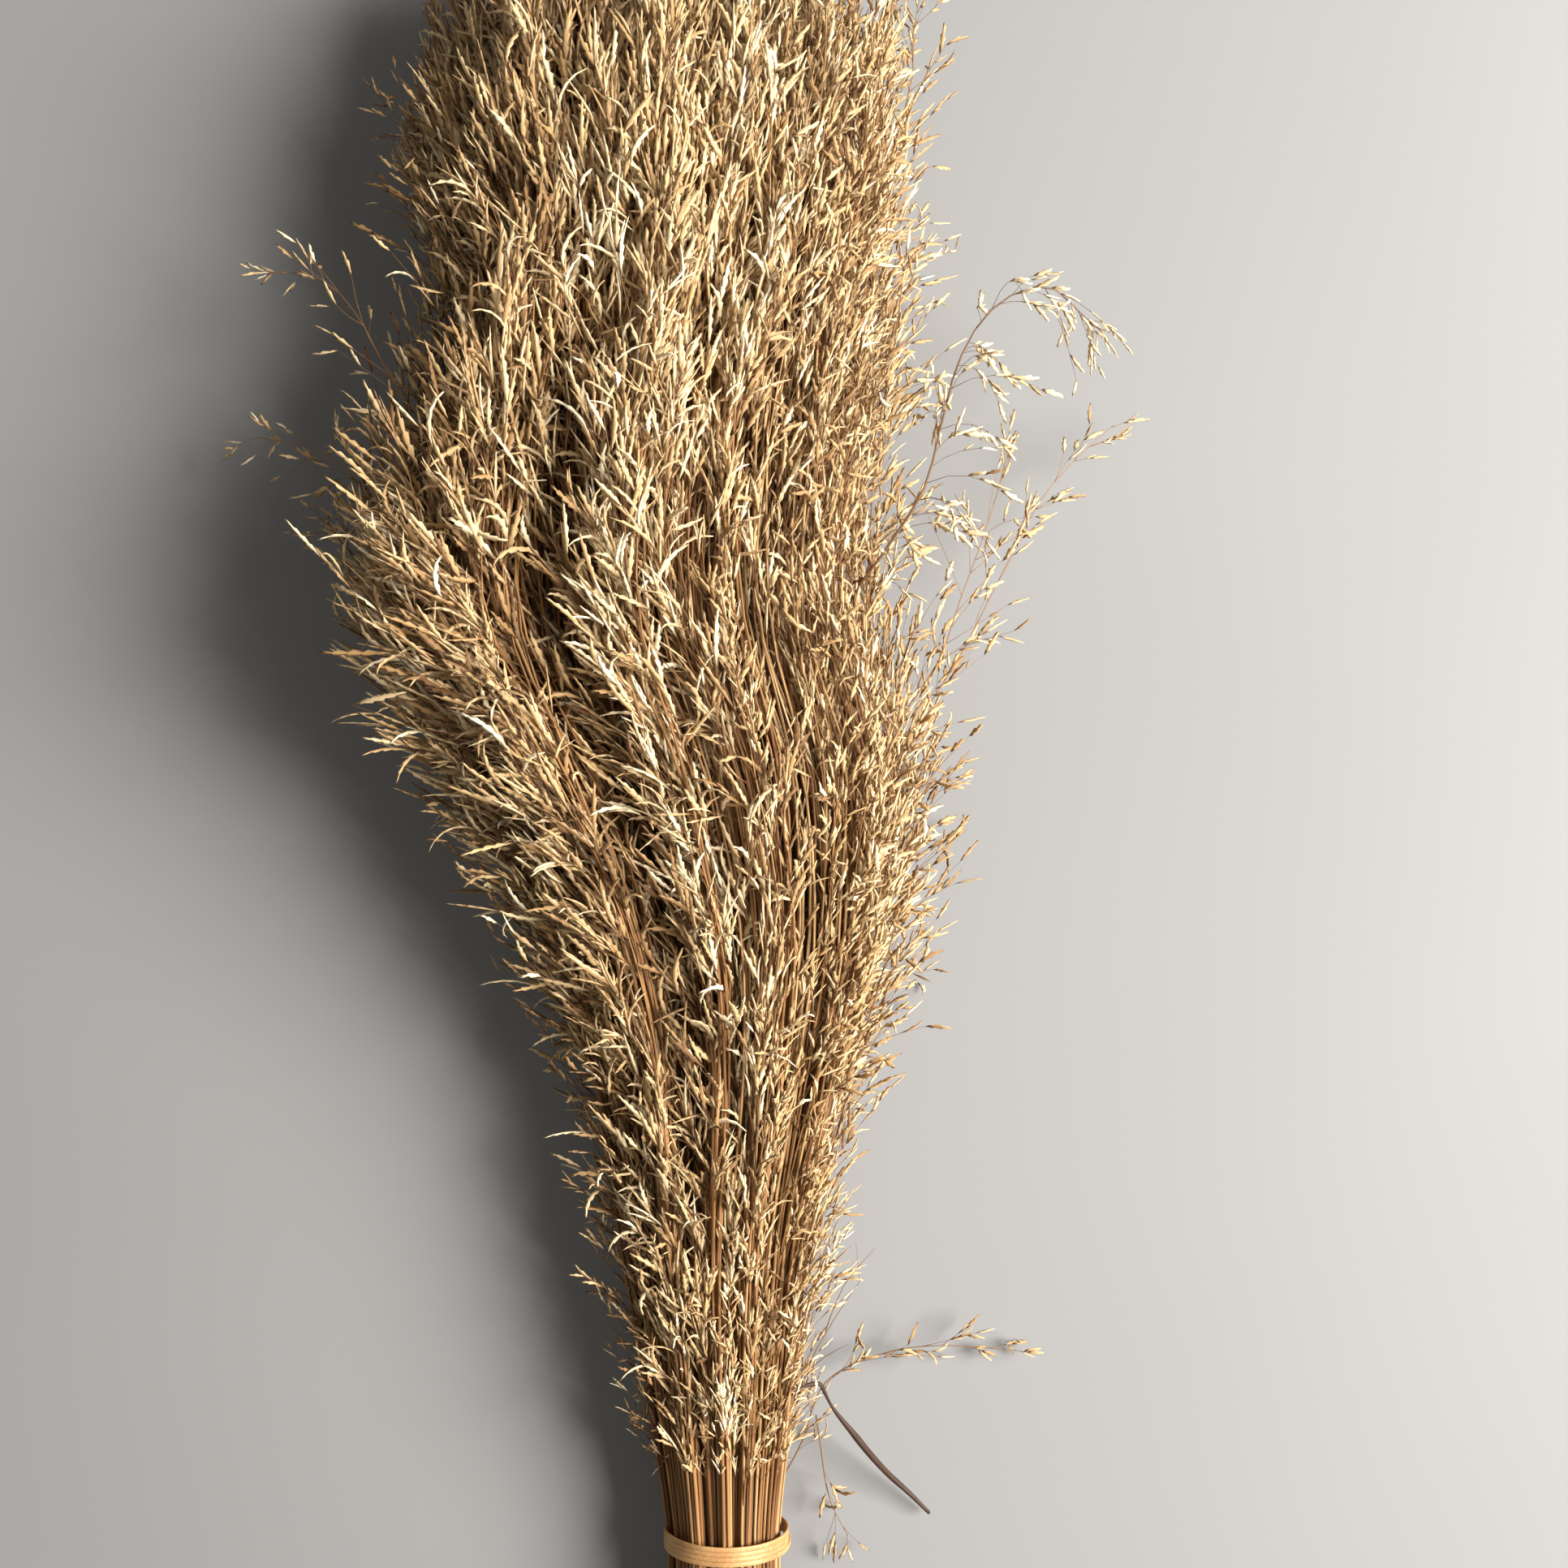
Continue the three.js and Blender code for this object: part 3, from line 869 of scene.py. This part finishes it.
def stalk_habit(fine_share, above_tie, is_loose, leaning):
    """A stalk's habit, and what gives its branches' side of the stalk."""
    habit = LOOSE_HABIT if is_loose else mixed_habit(fine_share)
    if above_tie < LOW_TIPS and not is_loose:
        habit = replace(habit, **CLOSE_HEAD)
    if leaning > LEANING:
        return replace(habit, **LEANING_HEAD), towards_flank
    return habit, from_bundle


def grow_stalk(growth, rng, handful, offset, height, faces_out):
    """One stalk of a handful, with its seed head. height is its share of the bundle's reach."""
    fine_share = fineness(handful.place)
    rounding = ROUNDING * min(1, np.hypot(*handful.place)) ** 2 * height**2
    tip = TIE[1] + (TALLEST - TIE[1]) * height - rounding - rng.uniform(0, TIP_RAGGEDNESS)
    above_tie = tip - TIE[1]
    cut = BUTT + rng.uniform(0, BUTT_RAGGEDNESS)
    path = stalk_path(rng, handful, offset, cut, tip)
    leaning = lean(path) * rng.uniform(*LEAN_VARIATION)
    at_edge = abs(place_across(path[-1])) > EDGE
    loose_share = EDGE_LOOSE_SHARE if at_edge else mixed(*LOOSE_SHARES, fine_share)
    is_loose = faces_out and rng.random() < loose_share
    bow = rng.uniform(*(LOOSE_BOW if is_loose else BOW))
    flare = np.clip((above_tie - FLARE_FROM) / (FLARE_FULL - FLARE_FROM), 0, 1)
    sideways = np.array([bow + flare * rng.uniform(*FLARE), 0, bow])
    bend_share = np.clip(np.linspace(BEND_FROM, 1, STEM_STATIONS), 0, 1)[:, None] ** 2
    path = path + from_bundle(path) * sideways * bend_share
    path = parted(path - np.array([leaning, 0, 0]) * bend_share)
    head = rng.uniform(*HEAD_LENGTHS) if faces_out else INNER_HEAD_LENGTH
    head = min(head, above_tie - LOWEST_SPIKELETS)
    length = lengths_along(path)[-1]
    # Heads on the -X flank get darker tones: painted shade for the side turned from the key light.
    painted_flank_shade = np.interp(place_across(path[-1]), FLANK_SHADE_PLACES, (FLANK_SHADE_TONE, 0))
    usual_tone = mixed(*USUAL_TONES, fine_share) + painted_flank_shade
    tone = np.clip(rng.normal(usual_tone, TONE_SPREAD), *HEAD_TONES)
    growth.add_stem(path, stem_radii(rng, path, 1 - head / length), rng.normal(*STEM_TONE))
    habit, side = stalk_habit(fine_share, above_tie, is_loose, leaning)
    growth.add_head(rng, path, length - head, side, habit, tone, vigour_above_band)
    if at_edge and faces_out:
        bare = length - above_tie + WISP_FROM
        growth.add_head(rng, path, bare, from_bundle, EDGE_WISPS, tone - WISP_DARKER)


def grow_handful(growth, number, name):
    """All the stalks that one sprig node stands for, or those beside a stray stalk."""
    rng = np.random.default_rng([SEED, number])
    handful = HANDFULS[name] if name in HANDFULS else Gap(name)
    is_outer = np.hypot(*handful.place) > OUTER_PLACE
    count = OUTER_STALKS if is_outer else INNER_STALKS
    turn = rng.uniform(0, 2 * math.pi)
    outer_side = unit(handful.place)
    shown = 0
    for stalk in range(count):
        radius = STALK_SPREAD * math.sqrt((stalk + 0.5) / count)
        angle = turn + stalk * GOLDEN_ANGLE
        offset = radius * np.array([math.cos(angle), math.sin(angle)])
        faces_out = is_outer and offset @ outer_side > INWARD
        height = rng.uniform(*INNER_HEIGHTS)
        if faces_out:
            share = (number * HANDFUL_STEP + shown * GOLDEN_FRACTION) % 1
            height = np.interp(share, *zip(*TIP_SHARES))
            shown += 1
        grow_stalk(growth, rng, handful, offset, height, faces_out)


# ---------------------------------------------------------------- materials

def srgb(red, green, blue):
    """A colour given as 0 to 255 screen values, as the shader's linear values."""
    linear = []
    for value in (red, green, blue):
        value /= 255
        linear.append(value / 12.92 if value <= 0.04045 else ((value + 0.055) / 1.055) ** 2.4)
    return (*linear, 1)


def grey(value):
    return (value, value, value, 1)


BLACK = grey(0)
WHITE = grey(1)


class Nodes:
    """A short way to build a material's node tree."""

    def __init__(self, name):
        self.material = bpy.data.materials.new(name)
        self.material.use_nodes = True
        self.tree = self.material.node_tree
        self.shader = self.tree.nodes["Principled BSDF"]

    def add(self, kind, inputs, **settings):
        """A node with its inputs, as values or as other nodes' outputs, and its settings."""
        node = self.tree.nodes.new(kind)
        for name, value in settings.items():
            setattr(node, name, value)
        for name, value in inputs.items():
            self.put(node.inputs[name], value)
        return node

    def put(self, socket, value):
        if isinstance(value, bpy.types.NodeSocket):
            self.tree.links.new(value, socket)
        else:
            socket.default_value = value

    def times(self, first, second):
        inputs = {0: first, 1: second}
        return self.add("ShaderNodeMath", inputs, operation="MULTIPLY").outputs[0]

    def ramp(self, factor, *stops):
        """Stops are (value, colour)."""
        node = self.add("ShaderNodeValToRGB", {0: factor})
        elements = node.color_ramp.elements
        while len(elements) < len(stops):
            elements.new(0.5)
        for element, (position, colour) in zip(elements, stops):
            element.position = position
            element.color = colour
        return node.outputs[0]

    def mix(self, factor, first, second, blend="MIX"):
        inputs = {0: factor, 6: first, 7: second}
        node = self.add("ShaderNodeMix", inputs, data_type="RGBA", blend_type=blend)
        return node.outputs[2]

    def noise(self, vector, scale, detail=3.0):
        inputs = {"Vector": vector, "Scale": scale, "Detail": detail}
        return self.add("ShaderNodeTexNoise", inputs).outputs[0]

    def finish(self, colour, height, roughness, bump):
        """Connects the colour, the roughness that goes with a height (its places, then its values there),
        and the bump (strength and distance in metres). Gives the material."""
        places, values = roughness
        rough = self.ramp(height, *((place, grey(value)) for place, value in zip(places, values)))
        strength, distance = bump
        inputs = {"Strength": strength, "Distance": distance, "Height": height}
        normal = self.add("ShaderNodeBump", inputs).outputs[0]
        for name, value in (("Base Color", colour), ("Roughness", rough), ("Normal", normal)):
            self.put(self.shader.inputs[name], value)
        return self.material


TONE_STEP = 90.0  # keeps the textures of two tones apart


class StrawNodes(Nodes):
    """Nodes that read the tone, along and across values of every corner of the straw."""

    def __init__(self, name):
        super().__init__(name)
        source = self.add("ShaderNodeAttribute", {}, attribute_name="straw")
        split = self.add("ShaderNodeSeparateXYZ", {0: source.outputs["Vector"]})
        self.tone, self.along, self.across = split.outputs

    def streaks(self, lengthwise, crosswise, scale):
        """Noise drawn out along the straw, different on every shape."""
        place = {
            0: self.times(self.along, lengthwise),
            1: self.times(self.across, crosswise),
            2: self.times(self.tone, TONE_STEP),
        }
        return self.noise(self.add("ShaderNodeCombineXYZ", place).outputs[0], scale)

    def streaked(self, colour, streaks, strength, dark, dark_below, clean_above):
        """The colour, darker where the streaks are low."""
        shade = self.ramp(streaks, (dark_below, dark), (clean_above, WHITE))
        return self.mix(strength, colour, shade, "MULTIPLY")

    def stained(self, colour, patches, strength, stain, clean_below, full_above):
        """The colour, stained where the patches are high."""
        share = self.ramp(patches, (clean_below, BLACK), (full_above, WHITE))
        return self.mix(self.times(share, strength), colour, stain)


STRAW_BUMP_DISTANCE = 0.0004


def husk_material(name, stops, foot):
    """Papery husks: a tone for each, veins along it, a browner foot (partly their own colour, partly
    painted shade) and pale edges.
    """
    nodes = StrawNodes(name)
    colour = nodes.ramp(nodes.tone, *stops)
    veins = nodes.streaks(lengthwise=1.6, crosswise=4.5, scale=2.2)
    dark = srgb(186, 172, 150)
    colour = nodes.streaked(colour, veins, 0.7, dark, dark_below=0.3, clean_above=0.62)
    patches = nodes.streaks(lengthwise=5.0, crosswise=1.2, scale=1.4)
    colour = nodes.stained(colour, patches, 0.35, foot, clean_below=0.56, full_above=0.74)
    # The foot: browner in the husk's own colour, and darker still as painted shade where the spikelets
    # overlap.
    colour = nodes.mix(nodes.ramp(nodes.along, (0.0, grey(0.75)), (0.35, BLACK)), colour, foot)
    from_middle = nodes.add("ShaderNodeMath", {0: nodes.across}, operation="ABSOLUTE").outputs[0]
    edge = nodes.add("ShaderNodeMath", {0: from_middle, 1: 3.0}, operation="POWER").outputs[0]
    colour = nodes.mix(nodes.times(edge, 0.35), colour, stops[-1][1])
    nodes.shader.inputs["Specular IOR Level"].default_value = 0.35
    bump = (0.45, STRAW_BUMP_DISTANCE)
    return nodes.finish(colour, veins, roughness=((0.3, 0.7), (0.82, 0.62)), bump=bump)


def stem_material(name, stops, dark):
    """Stems: a tone for each, long streaks, weathered patches and a silky surface."""
    nodes = StrawNodes(name)
    colour = nodes.ramp(nodes.tone, *stops)
    streaks = nodes.streaks(lengthwise=9.0, crosswise=2.6, scale=1.7)
    shade = srgb(170, 148, 120)
    colour = nodes.streaked(colour, streaks, 0.8, shade, dark_below=0.32, clean_above=0.66)
    patches = nodes.streaks(lengthwise=22.0, crosswise=0.4, scale=1.0)
    colour = nodes.stained(colour, patches, 0.5, dark, clean_below=0.56, full_above=0.72)
    nodes.shader.inputs["Specular IOR Level"].default_value = 0.4
    bump = (0.4, STRAW_BUMP_DISTANCE)
    return nodes.finish(colour, streaks, roughness=((0.3, 0.7), (0.75, 0.5)), bump=bump)


def rubber_material():
    """Tan natural rubber: cloudy colour, fine dust and a satin skin."""
    nodes = Nodes("tan_rubber")
    place = nodes.add("ShaderNodeTexCoord", {}).outputs["Object"]
    cloud = nodes.noise(place, scale=90.0)
    colour = nodes.ramp(cloud, (0.3, srgb(168, 122, 72)), (0.7, srgb(196, 152, 98)))
    dust = nodes.noise(place, scale=900.0, detail=2.0)
    dust_share = nodes.times(nodes.ramp(dust, (0.5, BLACK), (0.8, WHITE)), 0.3)
    colour = nodes.mix(dust_share, colour, srgb(216, 196, 164))
    return nodes.finish(colour, dust, roughness=((0.3, 0.8), (0.42, 0.66)), bump=(0.25, 0.0002))


# The tones' colours, from the darkest at 0 to the palest at 1.
HUSK_TONES = [
    (0.0, srgb(112, 76, 38)),
    (0.25, srgb(168, 130, 82)),
    (0.5, srgb(208, 174, 124)),
    (0.78, srgb(238, 216, 172)),
    (1.0, srgb(253, 240, 208)),
]
# The stems' tones are darker than the straw's own colour: partly painted shade for the sheaf's shaded
# inside.
STEM_TONES = [
    (0.0, srgb(84, 52, 26)),
    (0.35, srgb(134, 92, 50)),
    (0.65, srgb(172, 128, 78)),
    (1.0, srgb(218, 186, 134)),
]
DARK_STEM_TONES = [
    (0.0, srgb(52, 36, 26)),
    (0.5, srgb(92, 66, 46)),
    (1.0, srgb(150, 116, 82)),
]

# The husks' foot and stain colour: the foot's darkness is partly painted shade.
husk_straw = husk_material("oat_husk", HUSK_TONES, srgb(106, 68, 30))
stem_straw = stem_material("oat_stem", STEM_TONES, srgb(96, 66, 40))
dark_straw = stem_material("weathered_stem", DARK_STEM_TONES, srgb(34, 24, 18))


# ---------------------------------------------------------------- building the pieces

SHEAF_PIECES = 20


def add_piece(piece, slot, *nodes):
    """Puts a finished piece in the place of its nodes."""
    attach(piece, "root")
    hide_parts(*nodes)


def build_sheaf():
    """The sprigs' handfuls and those beside the strays, two or three to a piece from all over."""
    places = [*SPRIGS, *STRAYS]
    for first in range(SHEAF_PIECES):
        growth = Growth()
        for number in range(first, len(places), SHEAF_PIECES):
            grow_handful(growth, number, places[number])
        piece = growth.make(f"sheaf_{first + 1:02d}", husk_straw, stem_straw)
        add_piece(piece, "oat_straw", *SPRIGS[first::SHEAF_PIECES])


# ---------------------------------------------------------------- the stray stalks

STRAY_STATIONS = 64
STRAY_SEED = 100
WISP_SEED = 200
STRAY_SIDE = (0.2, 0.25)  # the way a stray's branches grow: along and up, for each 1 sideways


@dataclass(frozen=True)
class Stray:
    """How a stray stalk looks. Its side is 1 towards +X or -1. The radii are at its cut end, where the seed
    head starts, and at its tip."""

    habit: Habit
    head_from: float
    tone: float
    side: int
    radii: tuple = (0.8, 0.36, 0.14)
    dark: bool = False


OPEN_HABIT = Habit(
    spacing=(6, 12), branch_length=(18, 46), branch_angle=(14, 44), spikelets=(2, 5),
    spikelet_length=(8, 14), spikelet_width=(1.8, 2.8), spikelet_angle=(8, 34),
    bend=0.2, outward=2.0, wild=0.12, hair=0.15,
)
ARCHING_HABIT = replace(
    OPEN_HABIT, spacing=(4, 8), branch_length=(16, 44), branch_angle=(10, 55), spikelets=(3, 6),
    spikelet_length=(8, 13), droop=0.55,
)
SPARSE_HABIT = replace(OPEN_HABIT, spacing=(9, 16), spikelets=(1, 4), branch_length=(12, 27))
TWIGGY_HABIT = replace(
    OPEN_HABIT, spacing=(6, 11), branch_length=(8, 26), branch_angle=(12, 38), spikelets=(1, 4),
    spikelet_length=(8, 12), spikelet_width=(1.7, 2.6), hair=0.13,
)
SHORT_HABIT = replace(
    OPEN_HABIT, spacing=(6, 12), branch_length=(10, 30), branch_angle=(20, 58), spikelets=(1, 4),
    bend=0.3,
)
WISP_HABIT = replace(TWIGGY_HABIT, spacing=(7, 13), branch_length=(7, 18), spikelets=(1, 3))

STRAYS = {
    "arching_stalk": Stray(ARCHING_HABIT, 0.74, 0.72, 1, (0.9, 0.7, 0.2), dark=True),
    "slender_stalk": Stray(OPEN_HABIT, 0.6, 0.5, 1, (0.8, 0.4, 0.16)),
    "far_reaching_stalk": Stray(SPARSE_HABIT, 0.58, 0.5, 1, (0.8, 0.34, 0.14)),
    "low_side_stalk": Stray(TWIGGY_HABIT, 0.56, 0.4, 1),
    "left_high_stalk": Stray(SHORT_HABIT, 0.68, 0.56, -1),
    "left_middle_stalk": Stray(SHORT_HABIT, 0.62, 0.58, -1),
    "left_low_stalk": Stray(OPEN_HABIT, 0.6, 0.56, -1),
}


def build_stray(number, name, stray):
    """A stalk that leaves the bundle, with its own open seed head."""
    rng = np.random.default_rng([SEED, STRAY_SEED + number])
    path = evenly(stray_line(name, BELOW_CUTS), STRAY_STATIONS)
    share = np.linspace(0, 1, STRAY_STATIONS)
    radii = np.interp(share, [0, stray.head_from, 1], stray.radii)
    growth = Growth()
    growth.add_stem(path, radii, stray.tone)
    start = lengths_along(path)[-1] * stray.head_from
    side = np.array([stray.side, *STRAY_SIDE])
    growth.add_head(rng, path, start, lambda feet: side, stray.habit, stray.tone)
    if name == "low_side_stalk":
        add_twigs(growth)
    stem = dark_straw if stray.dark else stem_straw
    slot = "dark_straw" if stray.dark else "stray_straw"
    add_piece(growth.make(name + "_straw", husk_straw, stem), slot, name)


TWIG_FORKS = [
    # each fork's points across, along and up from the band's edge
    [(4, 62, 2), (14, 86, 8), (27, 105, 12), (31, 114, 13), (27, 124, 14)],
    [(14, 86, 8), (22, 106, 11), (35, 122, 15)],
    [(2, 70, -6), (10, 94, -2), (13, 108, 1), (12, 118, 2)],
    [(6, 66, -2), (14, 74, 2), (24, 80, 5)],
]
TWIG_RADII = (0.28, 0.1)
TWIG_TONE = 0.3


def add_twigs(growth):
    """Bare hair-thin twigs at the foot of the low side stalk."""
    edge = TIE + np.array([BAND_RADIUS, 0, 0])
    paths = [evenly(edge + np.array(points, float), BRANCH_STATIONS) for points in TWIG_FORKS]
    radii = np.tile(np.linspace(*TWIG_RADII, BRANCH_STATIONS), (len(paths), 1))
    growth.branches.append((np.array(paths), radii, np.full(len(paths), TWIG_TONE)))


ABOVE_BAND = TIE + np.array([0, 60, 0])  # nearer to the loose pieces' upper ends than to their lower ones
STUB = np.array([[-22, -4, 6], [-10, 0, 4]])  # from where the broken straw comes out of the bundle
STRAW_RADII = [(0, 1.0), (0.22, 0.85), (0.3, 0.6), (0.5, 1.5), (0.8, 1.3), (1, 0.8)]
STRAW_TONE = 0.16
WISP_RADII = (0.36, 0.12)
WISP_TONE = 0.4
WISP_HEAD_FROM = 0.25
WISP_SIDE = np.array([1, 0, 0.3])


def build_broken_straw():
    """A thick dark straw, snapped and hanging out of the bundle's side, with its stub."""
    line = stray_line("broken_straw", ABOVE_BAND)
    path = evenly(np.concatenate([line[0] + STUB, line]), STRAY_STATIONS)
    radii = np.interp(np.linspace(0, 1, STRAY_STATIONS), *zip(*STRAW_RADII))
    growth = Growth()
    growth.add_stem(path, radii, STRAW_TONE)
    piece = growth.make("broken_straw_straw", husk_straw, dark_straw, sides=8)
    add_piece(piece, "dark_straw", "broken_straw")


def build_drooping_wisp():
    """A hair-thin broken twig with a few spikelets, hanging beside the bundle."""
    rng = np.random.default_rng([SEED, WISP_SEED])
    path = evenly(stray_line("drooping_wisp", ABOVE_BAND), STRAY_STATIONS)
    growth = Growth()
    growth.add_stem(path, np.linspace(*WISP_RADII, STRAY_STATIONS), WISP_TONE)
    start = WISP_HEAD_FROM * lengths_along(path)[-1]
    growth.add_head(rng, path, start, lambda feet: WISP_SIDE, WISP_HABIT, WISP_TONE)
    piece = growth.make("drooping_wisp_straw", husk_straw, stem_straw, hollow=False)
    add_piece(piece, "stray_straw", "drooping_wisp")


# ---------------------------------------------------------------- the rubber band

BAND_TURNS = 4
BAND_STATIONS_A_TURN = 72
BAND_START = 0.6  # where round the stems it starts, in radians
STRIP_HALF_WIDTH = 1.0
STRIP_HALF_THICKNESS = 0.5
STRIP_SIDES = 12
SQUARENESS = 0.5  # of the strip's section: a power, where 1 is an ellipse
BAND_RETURN = 0.45  # of a turn, in which the strip crosses back over the others
CROSSING_GAP = 0.05
BAND_SLACK = 0.3  # what the raised strip keeps from the node's outside
LOWEST_STRIP = 0.05


def squared(wave):
    """A wave between -1 and 1, with flatter tops."""
    return np.sign(wave) * np.abs(wave) ** SQUARENESS


def build_band():
    """One closed rubber strip, wound side by side round the stems, that crosses back over itself."""
    count = BAND_TURNS * BAND_STATIONS_A_TURN
    turn = np.arange(count) / BAND_STATIONS_A_TURN
    angle = turn * 2 * math.pi + BAND_START
    laid = BAND_TURNS - BAND_RETURN
    reach = BAND_WIDTH / 2 - STRIP_HALF_WIDTH
    back = np.clip((turn - laid) / BAND_RETURN, 0, 1)
    back_smooth = back * back * (3 - 2 * back)
    along = np.where(turn < laid, -reach + 2 * reach * turn / laid, reach - 2 * reach * back_smooth)
    raised = (2 * STRIP_HALF_THICKNESS + CROSSING_GAP) * np.sin(math.pi * back) ** 0.5
    innermost = BAND_RADIUS - 3 * STRIP_HALF_THICKNESS - BAND_SLACK  # leaves room for the raised strip
    radius = innermost + raised
    out = np.stack([np.cos(angle), np.zeros(count), np.sin(angle)], axis=-1)
    path = TIE + out * radius[:, None] - along[:, None] * DOWN_THE_STALKS
    tangent = unit(np.roll(path, -1, axis=0) - np.roll(path, 1, axis=0))
    across = unit(np.cross(out, tangent))
    section = np.arange(STRIP_SIDES) * 2 * math.pi / STRIP_SIDES
    sideways = across[:, None] * (squared(np.cos(section)) * STRIP_HALF_WIDTH)[:, None]
    outward = out[:, None] * (squared(np.sin(section)) * STRIP_HALF_THICKNESS)[:, None]
    points = (path[:, None] + sideways + outward).reshape(-1, 3)
    points[:, 2] = np.maximum(points[:, 2], LOWEST_STRIP)
    corners = np.arange(count * STRIP_SIDES).reshape(count, STRIP_SIDES)
    ahead = np.roll(corners, -1, axis=0)
    sides = [corners, ahead, np.roll(ahead, -1, axis=1), np.roll(corners, -1, axis=1)]
    quads = np.stack(sides, axis=-1).reshape(-1, 4)
    mesh = bpy.data.meshes.new("rubber_band")
    mesh.from_pydata((points * MM).tolist(), [], quads.tolist())
    fill(mesh.polygons, "use_smooth", np.ones(len(quads)), bool)
    mesh.materials.append(rubber_material())
    add_piece(put_in_scene("rubber_band", mesh), "rubber_band", "tie_band")


build_sheaf()
for number, (name, stray) in enumerate(STRAYS.items()):
    build_stray(number, name, stray)
build_broken_straw()
build_drooping_wisp()
build_band()


# ---------------------------------------------------------------- stage, light and camera

SENSOR_WIDTH = 36
FIELD_OF_VIEW = math.radians(50)
VIEW_WIDTH = 666.5  # of the bundle's middle plane that the camera sees
VIEW_MIDDLE = (24.5, 317.7)  # from the band, across and along
BUNDLE_SLOPE = 0.076  # of the bundle's middle plane, rising towards the heads
LIGHTS = {
    # each light's place in metres, size, power and colour
    "key_light": ((1.56, 0.05, 1.32), 1.2, 142, (1.0, 0.968, 0.925)),
    "fill_light": ((-0.6, -0.9, 1.8), 1.6, 2, (1.0, 0.98, 0.95)),
}
LIGHTS_AIM = Vector((0, 0.05, 0.05))
ROOM_COLOUR = (1.0, 0.96, 0.89, 1)
ROOM_STRENGTH = 0.22
FLOOR_HALF_SIZE = 4.0


def add_camera():
    """Looks straight down on the bundle's middle plane, which rises a little towards the heads."""
    data = bpy.data.cameras.new("camera")
    data.sensor_width = SENSOR_WIDTH
    data.angle = FIELD_OF_VIEW
    distance = VIEW_WIDTH / 2 / math.tan(FIELD_OF_VIEW / 2)
    tilt = math.atan(BUNDLE_SLOPE)
    across, along = VIEW_MIDDLE
    target = TIE + np.array([across, along, along * BUNDLE_SLOPE])
    back = np.array([0, -math.sin(tilt), math.cos(tilt)])
    camera = put_in_scene("camera", data)
    camera.location = Vector((target + back * distance) * MM)
    camera.rotation_euler = (tilt, 0, 0)
    bpy.context.scene.camera = camera


def add_lights():
    """Two soft lights and a dim room."""
    for name, (place, size, power, colour) in LIGHTS.items():
        data = bpy.data.lights.new(name, "AREA")
        data.shape = "DISK"
        data.size = size
        data.energy = power
        data.color = colour
        light = put_in_scene(name, data)
        light.location = place
        light.rotation_euler = (LIGHTS_AIM - Vector(place)).to_track_quat("-Z", "Y").to_euler()
    world = bpy.data.worlds.new("room")
    world.use_nodes = True
    background = world.node_tree.nodes["Background"]
    background.inputs["Color"].default_value = ROOM_COLOUR
    background.inputs["Strength"].default_value = ROOM_STRENGTH
    bpy.context.scene.world = world


def add_floor():
    """A plain pale floor, with a hint of unevenness in its colour."""
    mesh = bpy.data.meshes.new("floor")
    half = FLOOR_HALF_SIZE
    corners = [(-half, -half, 0), (half, -half, 0), (half, half, 0), (-half, half, 0)]
    mesh.from_pydata(corners, [], [(0, 1, 2, 3)])
    nodes = Nodes("pale_floor")
    place = nodes.add("ShaderNodeTexCoord", {}).outputs["Object"]
    cloud = nodes.noise(place, scale=2.0, detail=2.0)
    colour = nodes.ramp(cloud, (0.3, srgb(130, 130, 130)), (0.7, srgb(134, 134, 134)))
    nodes.put(nodes.shader.inputs["Base Color"], colour)
    nodes.shader.inputs["Roughness"].default_value = 0.9
    mesh.materials.append(nodes.material)
    put_in_scene("floor", mesh)


add_camera()
add_lights()
add_floor()
bpy.context.scene.view_settings.view_transform = "Standard"
